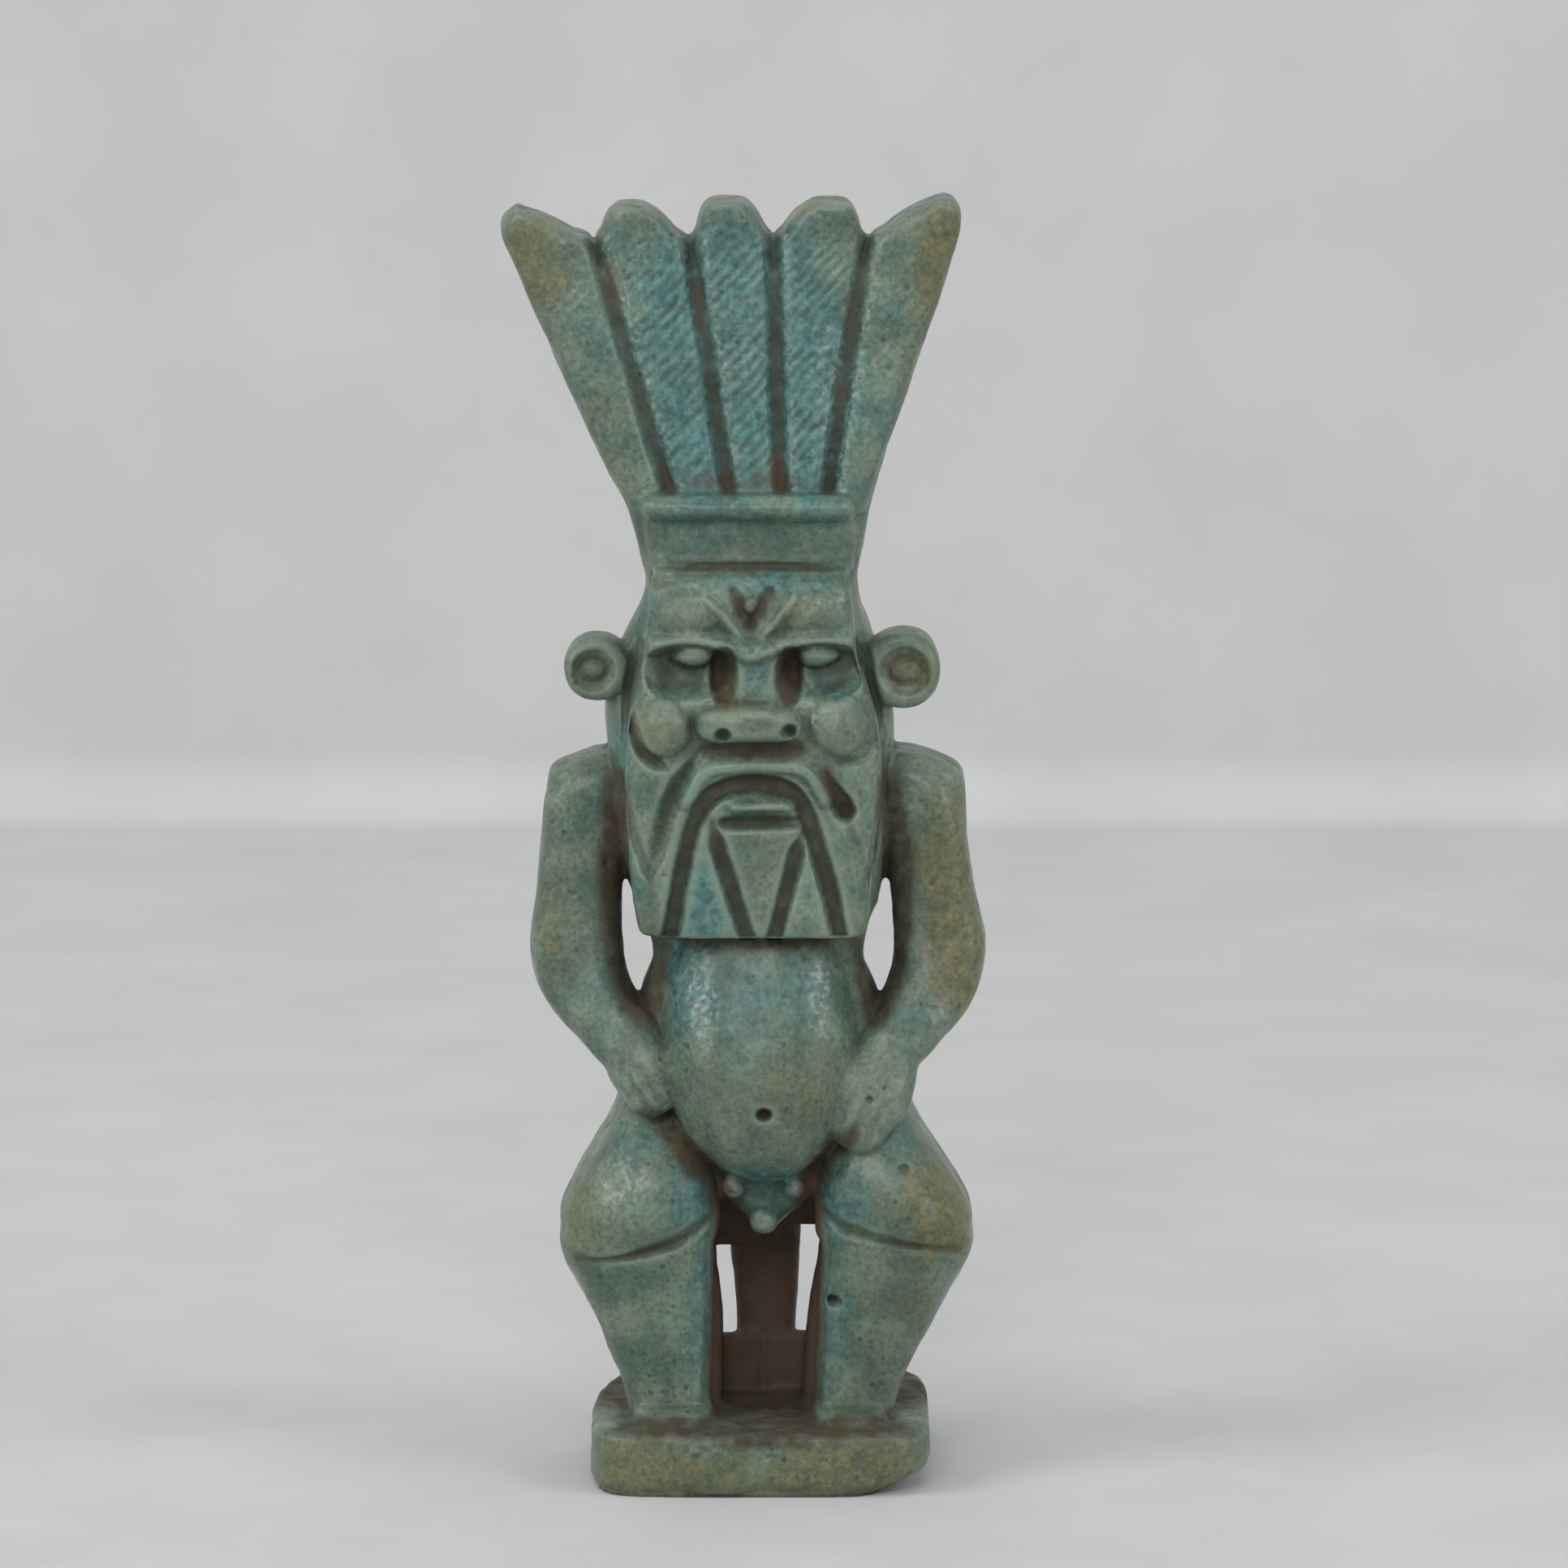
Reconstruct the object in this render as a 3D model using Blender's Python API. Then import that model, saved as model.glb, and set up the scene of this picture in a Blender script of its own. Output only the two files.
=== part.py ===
"""A moulded faience figurine of the dwarf god Bes on its own small plinth, modelled as one solid.

Bes stands with bowed legs and hands on his belly, in a crown of five plumes. Between the legs hangs the tail
of his lion skin, free of the calves at two narrow slots, and behind the crown's band is a lug pierced for a cord.
X runs to the viewer's right, Y to the back and Z up, from the middle of the plinth's underside.

Body forms are closed lofts of rings, pressed together like clay by a voxel remesh, and then carved: a carving is
a depth or a height over the front view's X and Z that moves the skin along Y. Figures and carving are set out on
a sculptor's grid whose squares measure one millimetre on the real piece. The plinth and the lug have their own sizes.
"""

import math

import bmesh
import bpy
import numpy as np
from mathutils import Matrix, Vector

# Driving sizes, in metres
FIGURE_HEIGHT = 0.0433
PLINTH_HEIGHT = 0.0023
PLINTH_SIDE_MARGIN = 0.0009
PLINTH_FRONT_MARGIN = 0.00095
PLINTH_BACK_MARGIN = 0.0013
PLINTH_TOP_EDGE = 0.0003
PLINTH_FOOT_EDGE = 0.00045
PLINTH_WORN_HEIGHT = 0.00075
PLINTH_WORN_RUN = 0.0012
CORD_HOLE = 0.0013
LUG_WALL = 0.0006
LUG_LENGTH = 0.0022

# The sculptor's grid
GRID_ROWS = 43.3
SQUARE = FIGURE_HEIGHT / GRID_ROWS
PLINTH_TOP = PLINTH_HEIGHT / SQUARE
STANCE_SIDE = 5.1
STANCE_FRONT = -4.95
STANCE_BACK = 4.6

# How the skin is made, in squares
VOXEL = 0.125
RING_POINTS = 48
ROWS_PER_SLICE = 4
DOME_ROWS = 4
SOFTENING_PASSES = 7
TRIANGLES = 8900
CREASE = math.radians(50)

# How far the axis of the figure stands to the viewer's right at each height: it leans to the left above the knees
LEAN_HEIGHTS = (0.0, 6.7, 20.0, 27.0, 29.4, 31.6, 34.2, 38.0, 43.3)
LEAN_OFFSETS = (0.0, 0.24, -0.21, -0.47, -0.30, -0.37, -0.62, -0.83, -1.10)

FAIENCE = (0.165, 0.250, 0.200, 1.0)


def smooth_rows(slices, rows_per_slice=ROWS_PER_SLICE):
    """Rows between the given slices, on a Catmull-Rom curve through every column of numbers."""
    table = np.array(slices, float)
    first = 2 * table[0] - table[1]
    last = 2 * table[-1] - table[-2]
    padded = np.vstack([first, table, last])
    rows = []
    for i in range(len(table) - 1):
        before, start, end, after = padded[i : i + 4]
        for t in np.arange(rows_per_slice) / rows_per_slice:
            straight = 2 * start + (end - before) * t
            bend = (2 * before - 5 * start + 4 * end - after) * t**2
            twist = (3 * start - before - 3 * end + after) * t**3
            rows.append((straight + bend + twist) / 2)
    rows.append(table[-1])
    return rows


def unit_ring(power):
    """Pairs around |u|^power + |v|^power = 1: a circle at 2, and squarer above it."""
    pairs = []
    for i in range(RING_POINTS):
        angle = 2 * math.pi * i / RING_POINTS
        c, s = math.cos(angle), math.sin(angle)
        u = math.copysign(abs(c) ** (2 / power), c)
        v = math.copysign(abs(s) ** (2 / power), s)
        pairs.append((u, v))
    return pairs


def skin_over(clay, rings):
    """Adds a closed form through rings of points: each is bridged to the next, and both ends are capped."""
    loops = []
    for ring in rings:
        verts = [clay.verts.new(point) for point in ring]
        edges = [clay.edges.new((verts[i], verts[(i + 1) % len(verts)])) for i in range(len(verts))]
        loops.append((verts, edges))
    faces = []
    for (_, lower), (_, upper) in zip(loops, loops[1:]):
        faces += bmesh.ops.bridge_loops(clay, edges=lower + upper)["faces"]
    for verts in (loops[0][0], loops[-1][0]):
        faces.append(clay.faces.new(verts))
    bmesh.ops.recalc_face_normals(clay, faces=faces)


def stack(clay, slices, power=2.4):
    """A form of level rings, from slices of (z, left, right, front, back)."""
    rings = []
    for z, left, right, front, back in smooth_rows(slices):
        middle = Vector(((left + right) / 2, (front + back) / 2, z))
        half_width, half_depth = (right - left) / 2, (back - front) / 2
        rings.append([middle + Vector((u * half_width, v * half_depth, 0)) for u, v in unit_ring(power)])
    skin_over(clay, rings)


def limb(clay, stations, power=2.2):
    """A round-ended form carried along a path, from stations of (x, y, z, half width, half depth)."""
    rows = smooth_rows(stations)
    places = [Vector(row[:3]) for row in rows]
    tangents = [(places[min(i + 1, len(rows) - 1)] - places[max(i - 1, 0)]).normalized() for i in range(len(rows))]
    turns = [math.pi / 2 * (k + 1) / (DOME_ROWS + 1) for k in range(DOME_ROWS)]
    ends = [(0, -1, turn) for turn in reversed(turns)]
    ends += [(i, 0, 0.0) for i in range(len(rows))]
    ends += [(len(rows) - 1, 1, turn) for turn in turns]
    rings = []
    for i, outward, turn in ends:
        across = tangents[i].cross(Vector((0, 1, 0))).normalized()
        deep = across.cross(tangents[i]).normalized()
        half_width, half_depth = rows[i][3] * math.cos(turn), rows[i][4] * math.cos(turn)
        middle = places[i] + tangents[i] * outward * math.sin(turn) * min(rows[i][3:5])
        rings.append([middle + across * u * half_width + deep * v * half_depth for u, v in unit_ring(power)])
    skin_over(clay, rings)


def beside_tail(slices, side):
    """Slices of a leg on one side, from slices of (z, inner edge from the tail's middle, outer edge, front, back)."""
    placed = []
    for z, inner, outer, front, back in slices:
        edges = sorted((TAIL_MIDDLE + side * inner, side * outer))
        placed.append((z, *edges, front, back))
    return placed


def even(slices):
    """Slices of (z, half width, front, back), made the same to left and right."""
    return [(z, -half, half, front, back) for z, half, front, back in slices]


# Body forms, in squares above the plinth

TORSO = even([
    (7.6, 1.9, -2.0, 3.2), (9.2, 3.3, -3.0, 3.9), (11.0, 4.2, -3.8, 3.7), (13.0, 4.6, -4.2, 3.0),
    (15.0, 4.2, -4.0, 2.7), (16.2, 3.75, -3.8, 2.7), (17.3, 3.9, -3.6, 2.7), (18.4, 4.35, -3.4, 2.8),
    (20.5, 4.9, -3.0, 2.8),
    (22.6, 5.2, -2.6, 2.6), (24.0, 3.9, -2.0, 2.2),
])
BELLY = even([
    (8.7, 0.9, -3.9, 0.0), (9.3, 1.9, -4.8, 0.0), (10.6, 2.9, -5.6, 0.0), (12.4, 3.4, -5.95, 0.0),
    (14.4, 3.4, -5.6, 0.0), (16.2, 3.1, -4.9, 0.0), (18.0, 2.5, -4.2, 0.0),
])
MANE = even([
    (18.2, 4.3, -3.2, 2.0), (20.4, 4.75, -3.4, 2.6), (22.6, 4.95, -3.4, 3.3), (25.0, 5.1, -3.3, 3.7),
    (26.6, 4.8, -3.2, 3.6), (28.0, 4.25, -3.1, 3.4), (29.2, 3.8, -3.0, 3.1), (30.2, 3.78, -2.9, 2.8),
    (31.0, 3.75, -2.6, 2.6),
])
FACE = [
    (17.72, -4.15, 4.1, -5.3, -2.0), (18.4, -4.25, 4.2, -5.3, -2.0), (20.4, -4.4, 4.35, -5.15, -2.0),
    (22.4, -4.45, 4.5, -5.0, -2.0), (24.0, -4.4, 4.6, -4.9, -2.0), (25.2, -4.25, 4.5, -4.85, -2.0),
    (26.4, -3.95, 4.2, -4.8, -2.0), (27.6, -3.65, 3.8, -4.7, -2.0), (29.0, -3.6, 3.6, -4.55, -2.0),
    (30.0, -3.5, 3.5, -4.2, -2.0), (30.5, -3.4, 3.4, -3.6, -2.0),
]
BAND = even([
    (30.3, 3.62, -3.05, 2.5), (31.0, 3.66, -3.1, 2.5), (32.2, 3.78, -3.15, 2.5), (33.1, 3.9, -3.1, 2.4),
])
BAND_RIM = even([(32.2, 3.7, -3.2, 1.0), (32.5, 3.8, -3.5, 1.0), (32.8, 3.82, -3.5, 1.0), (33.1, 3.75, -3.2, 1.0)])
CROWN_SLAB = even([
    (29.6, 3.7, -1.6, 2.5), (31.0, 3.98, -1.8, 2.4), (32.4, 4.28, -1.8, 2.2), (34.2, 5.02, -1.7, 2.0),
    (37.0, 5.93, -1.5, 1.8), (40.0, 7.05, -1.3, 1.6), (40.8, 7.3, -1.2, 1.4), (41.2, 7.25, -0.9, 1.1),
])

# Plumes, each between two dividing lines that open from the band to the valleys of the crown's edge
PLUME_FOOT = 32.4
PLUME_VALLEY = 41.45
FOOT_LINES = (-4.15, -2.5, -0.5, 1.25, 2.95, 4.15)
VALLEY_LINES = (-7.85, -4.7, -1.4, 1.45, 4.65, 7.8)
PLUME_FOOT_FACES = (-2.8, 1.3)
PLUME_TIP_FACES = (-2.05, 1.0)
# Each tip's height, and the shares of the plume's width that its crest runs from and to
PLUME_TIPS = ((42.95, 0.1, 0.3), (43.1, 0.26, 0.66), (43.25, 0.2, 0.76), (43.2, 0.32, 0.84), (43.3, 0.5, 0.93))
PLUME_FLARE = 0.12
# The shares of a tip's height and of its taper that shape its shoulders
PLUME_SHOULDERS = ((0.0, 0.0), (0.45, 0.34), (0.8, 0.72), (1.0, 1.15))

# Limbs of the right-hand side, made on both
ARM = [
    (4.6, 0.1, 22.45, 1.3, 1.6), (5.68, -0.1, 22.0, 1.6, 1.8), (6.05, -0.3, 20.4, 1.48, 1.75),
    (6.27, -0.5, 18.4, 1.5, 1.7), (6.5, -0.8, 16.5, 1.6, 1.75), (6.15, -1.3, 15.2, 1.5, 1.7),
    (5.2, -2.2, 14.0, 1.2, 1.5), (4.5, -2.9, 13.2, 1.1, 1.3),
]
HANDS = {
    -1: [(4.6, -2.8, 13.7, 1.1, 1.2), (4.25, -3.5, 12.7, 1.15, 1.05), (3.95, -3.8, 11.9, 0.9, 0.85)],
    1: [(4.5, -2.9, 13.2, 1.15, 1.2), (3.85, -3.8, 11.9, 1.4, 1.1), (3.3, -4.1, 10.8, 1.1, 0.95)],
}
THIGH = [
    (5.9, 2.2, 6.4, -3.4, 1.0), (6.4, 1.75, 7.15, -4.4, 1.8), (7.3, 1.7, 7.3, -4.9, 2.1), (8.3, 1.7, 6.85, -4.9, 2.4),
    (9.4, 1.9, 6.15, -4.5, 2.6), (10.4, 2.4, 5.5, -3.9, 2.6), (11.3, 3.0, 5.15, -3.2, 2.3), (12.1, 3.4, 4.8, -2.4, 1.6),
]
SHIN = [
    (-0.3, 1.85, STANCE_SIDE, -3.7, 1.4), (1.0, 1.85, STANCE_SIDE, -3.7, 1.4), (2.4, 1.85, 5.65, -3.8, 1.4),
    (4.0, 1.87, 6.37, -4.0, 1.5), (5.6, 1.9, 7.12, -4.1, 1.6), (7.0, 1.9, 7.37, -3.6, 1.6),
]
CALF = [
    (-0.3, 1.4, 4.5, -1.6, 2.0), (2.4, 1.42, 5.0, -1.6, 1.9), (4.0, 1.52, 5.7, -1.6, 1.9), (5.6, 1.66, 6.4, -1.6, 2.0),
    (7.4, 1.7, 6.6, -1.6, 2.1),
]
FOOT = [(-0.3, 1.75, 4.5, STANCE_FRONT, 0.0), (0.35, 1.75, 4.5, STANCE_FRONT, 0.0), (0.75, 1.85, 4.4, -4.6, 0.0)]

# The tail of the lion skin behind the legs, between two slots that webs close below and above
TAIL_MIDDLE = 0.05
TAIL = [
    (-0.3, -1.0, 1.1, 1.5, STANCE_BACK), (2.4, -1.0, 1.1, 1.5, 4.5), (5.7, -1.35, 1.2, 1.5, 4.5), (8.4, -1.2, 1.2, 1.3, 4.9),
    (11.0, -1.1, 1.1, 1.5, 4.6), (12.6, -0.7, 0.7, 1.8, 3.7),
]
WEB_DEPTHS = (1.2, 2.3)
WEB_EDGES = {-1: (2.4, 5.6), 1: (2.5, 6.3)}
PAD = even([
    (6.3, 0.4, -3.0, 0.5), (6.9, 0.75, -3.2, 1.5), (7.6, 1.4, -3.3, 2.0), (8.4, 2.0, -3.4, 2.0), (9.6, 2.4, -3.6, 2.0),
])
LOBES = ((-1.1, -3.3, 8.3, 0.55), (1.1, -3.3, 8.3, 0.55), (-0.1, -3.3, 7.1, 0.65))

# Ears: side, x, height of the middle, radius
EARS = ((-1, 5.2, 26.55, 1.3), (1, 5.35, 26.85, 1.42))
EAR_BACK = -0.2
EAR_FRONT = -2.3


def mould_plinth(clay):
    """The plinth, with soft edges, its left back corner rubbed rounder and the foot of its right end worn away."""
    half = STANCE_SIDE + PLINTH_SIDE_MARGIN / SQUARE
    front, back = STANCE_FRONT - PLINTH_FRONT_MARGIN / SQUARE, STANCE_BACK + PLINTH_BACK_MARGIN / SQUARE
    middle, depth = (front + back) / 2, (back - front) / 2
    top_edge, foot_edge = PLINTH_TOP_EDGE / SQUARE, PLINTH_FOOT_EDGE / SQUARE
    worn_height, worn_run = PLINTH_WORN_HEIGHT / SQUARE, PLINTH_WORN_RUN / SQUARE
    levels = [0.0, 0.2 * foot_edge, 0.5 * foot_edge, foot_edge, worn_height, PLINTH_TOP - top_edge]
    rings = []
    for z in sorted(min(level, PLINTH_TOP - top_edge) for level in levels) + [PLINTH_TOP - 0.3 * top_edge, PLINTH_TOP]:
        rounding = foot_edge * (1 - math.sqrt(1 - max(1 - z / foot_edge, 0) ** 2))
        rounding += top_edge * max(1 - (PLINTH_TOP - z) / top_edge, 0) ** 2
        worn = worn_run * max(1 - z / worn_height, 0) ** 1.2
        ring = []
        for u, v in unit_ring(5.0):
            if v < 0:
                u, v = math.copysign(abs(u) ** 0.7, u), math.copysign(abs(v) ** 0.7, v)
            rubbed = 0.2 * max(v, 0) ** 2 if u < 0 else 0.0
            x = u * (half - rounding) * (1 - rubbed) - max(u, 0) * worn
            ring.append(Vector((x, middle + v * (depth - rounding), z)))
        if not rings or ring[0].z > rings[-1][0].z + 1e-4:
            rings.append(ring)
    skin_over(clay, rings)


def mould_crown(clay):
    """The crown: a slab that fans out of the band, and five plumes with rounded tips on its front."""
    stack(clay, CROWN_SLAB, power=7.0)
    stack(clay, BAND, power=6.0)
    stack(clay, BAND_RIM, power=7.0)
    for i, (tip, crest_from, crest_to) in enumerate(PLUME_TIPS):
        slices = []
        levels = [(PLUME_FOOT, 0.0), ((PLUME_FOOT + PLUME_VALLEY) / 2, 0.0)]
        levels += [(PLUME_VALLEY + (tip - PLUME_VALLEY) * share, cut) for share, cut in PLUME_SHOULDERS]
        for z, cut in levels:
            rise = (z - PLUME_FOOT) / (PLUME_VALLEY - PLUME_FOOT)
            left, right = plume_line(i, rise), plume_line(i + 1, rise)
            width = right - left
            front, back = (a + (b - a) * min(rise, 1) for a, b in zip(PLUME_FOOT_FACES, PLUME_TIP_FACES))
            slices.append((z, left + cut * crest_from * width, right - cut * (1 - crest_to) * width, front, back))
        stack(clay, slices, power=3.6)


def plume_line(i, rise):
    """The x of a dividing line at a share of the way from the band to the valleys; the outer two bow outwards."""
    bow = PLUME_FLARE * (VALLEY_LINES[i] / VALLEY_LINES[-1]) ** 3 * 4 * max(rise * (1 - rise), 0)
    return FOOT_LINES[i] + (VALLEY_LINES[i] - FOOT_LINES[i]) * rise + bow


def mould_body(clay):
    """The trunk, head and limbs."""
    stack(clay, TORSO, power=2.6)
    stack(clay, BELLY, power=2.2)
    stack(clay, MANE, power=3.0)
    stack(clay, FACE, power=5.0)
    for side in (-1, 1):
        for part in (ARM, HANDS[side]):
            limb(clay, [(side * x, y, z, across, deep) for x, y, z, across, deep in part], power=2.6)
        stack(clay, beside_tail(THIGH, side), power=2.6)
        stack(clay, beside_tail(SHIN, side), power=3.6)
        stack(clay, beside_tail(CALF, side), power=3.6)
        stack(clay, beside_tail(FOOT, side), power=3.5)
    stack(clay, PAD, power=2.6)
    for side, x, z, radius in EARS:
        near, far = (side * x, EAR_BACK, z, radius, radius), (side * x, EAR_FRONT, z, radius, radius)
        limb_along_depth(clay, near, far)
    for x, y, z, radius in LOBES:
        bead(clay, x, y, z, radius)


def limb_along_depth(clay, near, far):
    """A disc from one depth to another, with edges turned in at its front."""
    rings = []
    steps = ((near[1], 0.9), (near[1] - 0.2, 1.0), (far[1] + 0.35, 1.0), (far[1] + 0.08, 0.93), (far[1], 0.8))
    for y, share in steps:
        radius = near[3] * share
        rings.append([Vector((near[0] + u * radius, y, near[2] + v * radius)) for u, v in unit_ring(2.2)])
    skin_over(clay, rings)


def bead(clay, x, y, z, radius):
    """A small ball."""
    bmesh.ops.create_icosphere(clay, subdivisions=3, radius=radius, matrix=Matrix.Translation((x, y, z)))


def mould_tail(clay):
    """The tail, free of the calves at two slots, and the webs that tie it to them below and above each slot."""
    stack(clay, [(z, left + TAIL_MIDDLE, right + TAIL_MIDDLE, *depths) for z, left, right, *depths in TAIL], power=4.0)
    for side, (slot_foot, slot_head) in WEB_EDGES.items():
        for low, high in ((-0.3, slot_foot), (slot_head, 9.0)):
            edges = sorted((TAIL_MIDDLE + side * 0.3, TAIL_MIDDLE + side * 2.5))
            stack(clay, [(low, *edges, *WEB_DEPTHS), (high, *edges, *WEB_DEPTHS)], power=8.0)


LUG_HEIGHT = 31.1
LUG_ROOT = 1.8
BAND_BACK = 2.5


def mould_lug(clay):
    """The lug behind the crown's band: a round boss along the cord hole, on a ridge that blends into the back."""
    radius = (CORD_HOLE / 2 + LUG_WALL) / SQUARE
    half = LUG_LENGTH / 2 / SQUARE
    middle = lug_middle()
    rings = []
    for x, share in ((-half, 0.82), (-half + 0.25, 1.0), (half - 0.25, 1.0), (half, 0.82)):
        ring = [Vector((x, middle.y + u * radius * share, middle.z + v * radius * share)) for u, v in unit_ring(2)]
        rings.append(ring)
    skin_over(clay, rings)
    ridge = ((-1.7, 0.7, 0.3), (-1.0, 1.0, 0.9), (0.0, 1.0, 1.0), (1.0, 1.0, 0.9), (1.7, 0.7, 0.3))
    slices = []
    for rise, width, reach in ridge:
        back = BAND_BACK + (middle.y - BAND_BACK) * reach
        slices.append((middle.z + rise * radius, -half * width, half * width, LUG_ROOT, back))
    stack(clay, slices, power=4.0)


def lug_middle():
    """The middle of the cord hole, a wall's thickness behind the band."""
    return Vector((0.0, BAND_BACK + (LUG_WALL + CORD_HOLE / 2) / SQUARE, LUG_HEIGHT))


# Carving, as heights in squares over the upright front view


def stroke(x, z, points, width, height):
    """A band along a line of points, with round shoulders: height on the line and nothing past half the width."""
    distance = np.full(len(x), np.inf)
    for (x0, z0), (x1, z1) in zip(points, points[1:]):
        along = np.array((x1 - x0, z1 - z0))
        share = np.clip(((x - x0) * along[0] + (z - z0) * along[1]) / max(along @ along, 1e-9), 0, 1)
        distance = np.minimum(distance, np.hypot(x - x0 - share * along[0], z - z0 - share * along[1]))
    near = np.clip(1.6 * (1 - distance / (width / 2)), 0, 1)
    return height * near * near * (3 - 2 * near)


def dome(x, z, middle, radii, height, power=2.0):
    """A rounded mound or hollow with its height in the middle, falling to nothing at its radii."""
    reach = np.abs((x - middle[0]) / radii[0]) ** power + np.abs((z - middle[1]) / radii[1]) ** power
    return height * np.clip(1 - reach, 0, 1) ** 0.75


BROWS = (
    (-3.5, 28.1), (-2.5, 28.5), (-1.5, 28.5), (-0.6, 28.2), (0.15, 27.8), (0.9, 28.2), (1.8, 28.5), (2.8, 28.5), (3.7, 28.2),
)
LIP_GROOVE = (
    (-2.67, 17.6), (-2.26, 19.75), (-1.85, 21.6), (-1.29, 22.8), (-0.28, 23.25), (1.0, 23.15),
    (1.69, 22.45), (2.15, 20.8), (2.52, 19.3), (2.81, 17.6),
)
TONGUE_LINES = (
    ((-1.18, 22.1), (-1.0, 20.8), (-0.63, 19.2), (-0.19, 17.6)), ((1.81, 21.9), (1.33, 20.5), (0.85, 19.0), (0.52, 17.6)),
)
BEARD_LINES = (
    ((-1.9, 23.9), (-2.4, 23.0), (-3.0, 21.6), (-3.6, 19.8)), ((2.67, 23.5), (3.25, 22.2), (3.76, 20.4), (4.0, 18.2)),
)
BAND_FOOT = ((-3.4, 30.1), (-1.6, 30.5), (0.4, 30.55), (2.4, 30.4), (3.5, 30.1))
MOUSTACHE = ((-2.2, 22.9), (-1.7, 23.6), (-0.9, 23.85), (1.4, 23.85), (2.1, 23.55), (2.6, 22.9))


def face_relief(x, z):
    """Brows, eyes, nose, cheeks, mouth and beard."""
    relief = stroke(x, z, BROWS, 1.0, 0.6)
    for side, eye in ((-1, -1.95), (1, 2.4)):
        relief += dome(x, z, (side * 2.05, 29.5), (1.45, 0.95), 0.35)
        relief -= dome(x, z, (eye, 27.0), (1.6, 1.15), 1.35, 3.0)
        relief -= dome(x, z, (0.3 + side * 1.13, 26.95), (0.5, 1.0), 0.7)
        relief += dome(x, z, (eye, 27.55), (0.85, 0.52), 1.1)
        relief += dome(x, z, (0.05 + side * 3.2, 25.15), (1.2, 1.2), 0.75)
        relief -= dome(x, z, (0.19 + side * 1.12, 25.1), (0.32, 0.3), 0.55)
    relief += dome(x, z, (0.3, 27.2), (0.75, 1.2), 0.3, 4.0)
    relief += dome(x, z, (0.09, 25.55), (2.0, 0.85), 1.1, 4.0)
    relief -= stroke(x, z, ((-0.85, 30.1), (0.1, 28.6), (1.45, 30.1)), 0.5, 0.35)
    relief += dome(x, z, (0.02, 29.5), (0.38, 0.42), 0.45)
    relief -= stroke(x, z, ((-1.3, 24.4), (1.8, 24.45)), 0.6, 0.4)
    relief -= stroke(x, z, ((-4.1, 24.4), (-3.7, 23.7), (-2.9, 23.5)), 0.6, 0.35)
    relief -= stroke(x, z, ((4.3, 24.4), (3.9, 23.9), (3.1, 23.75)), 0.5, 0.25)
    return relief - stroke(x, z, BAND_FOOT, 0.45, 0.3) + beard_relief(x, z)


def beard_relief(x, z):
    """The moustache's ridge, and the grooves that part the locks and the tongue below it."""
    relief = stroke(x, z, MOUSTACHE, 0.8, 0.3)
    relief -= stroke(x, z, LIP_GROOVE, 0.85, 0.75)
    for line in TONGUE_LINES:
        relief -= stroke(x, z, line, 0.7, 0.6)
    relief -= stroke(x, z, BEARD_LINES[0], 0.8, 0.5)
    relief -= stroke(x, z, BEARD_LINES[1][:2], 0.8, 0.55)
    relief -= stroke(x, z, BEARD_LINES[1][1:], 0.6, 0.25)
    relief += stroke(x, z, ((-0.6, 22.42), (1.26, 22.47)), 0.6, 0.35)
    relief -= stroke(x, z, ((-0.84, 22.0), (1.39, 22.1)), 0.45, 0.4)
    return relief


def body_relief(x, z):
    """The hollows of the ears, the plumes' grooves, the navel, and the folds around hands and knees."""
    relief = np.zeros(len(x))
    for side, ear, height, radius in EARS:
        hollow = (side * (ear + 0.1), height)
        relief -= dome(x, z, hollow, (0.66 * radius, 0.66 * radius), 0.75)
        relief += dome(x, z, hollow, (0.3 * radius, 0.3 * radius), 0.45)
    for i in range(1, len(FOOT_LINES) - 1):
        relief -= stroke(x, z, ((plume_line(i, 0.09), 33.2), (plume_line(i, 1.1), 42.3)), 0.8, 0.45)
    relief -= dome(x, z, (0.05, 11.5), (0.35, 0.35), 0.4)
    for side in (-1, 1):
        relief -= stroke(x, z, ((side * 6.0, 6.35), (side * 4.2, 6.1), (side * 2.7, 6.4), (side * 1.9, 7.0)), 0.6, 0.3)
    return relief


def carve(mesh):
    """Moves the skin that faces the front along Y by the relief, in full where it faces the viewer squarely."""
    count = len(mesh.vertices)
    points, normals = np.empty(3 * count), np.empty(3 * count)
    mesh.vertices.foreach_get("co", points)
    mesh.vertex_normals.foreach_get("vector", normals)
    points, normals = points.reshape(-1, 3), normals.reshape(-1, 3)
    x, z = points[:, 0], points[:, 2]
    facing = np.clip((-normals[:, 1] - 0.25) / 0.35, 0, 1)
    in_front = points[:, 1] < -0.9
    on_face = (np.abs(x) < 4.9) & (z > 17.5) & (z < 31.0)
    relief = np.where(on_face, face_relief(x, z), 0) + body_relief(x, z)
    points[:, 1] -= relief * facing * in_front
    mesh.vertices.foreach_set("co", points.ravel())
    mesh.update()


def lean_at(z):
    """How far the upright figure is set to one side at a height, on a smooth line through the measured heights."""
    sides = [np.interp(z + step, LEAN_HEIGHTS, LEAN_OFFSETS) for step in (-0.8, -0.4, 0.0, 0.4, 0.8)]
    return sum(sides) / len(sides)


def place_on_plinth(mesh):
    """Leans the figure and lifts it onto the plinth."""
    points = np.empty(3 * len(mesh.vertices))
    mesh.vertices.foreach_get("co", points)
    points = points.reshape(-1, 3)
    points[:, 0] += lean_at(points[:, 2])
    points[:, 2] += PLINTH_TOP
    mesh.vertices.foreach_set("co", points.ravel())
    mesh.update()


def mesh_of(clay, name):
    """A mesh from the forms."""
    mesh = bpy.data.meshes.new(name)
    clay.to_mesh(mesh)
    clay.free()
    return mesh


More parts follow.
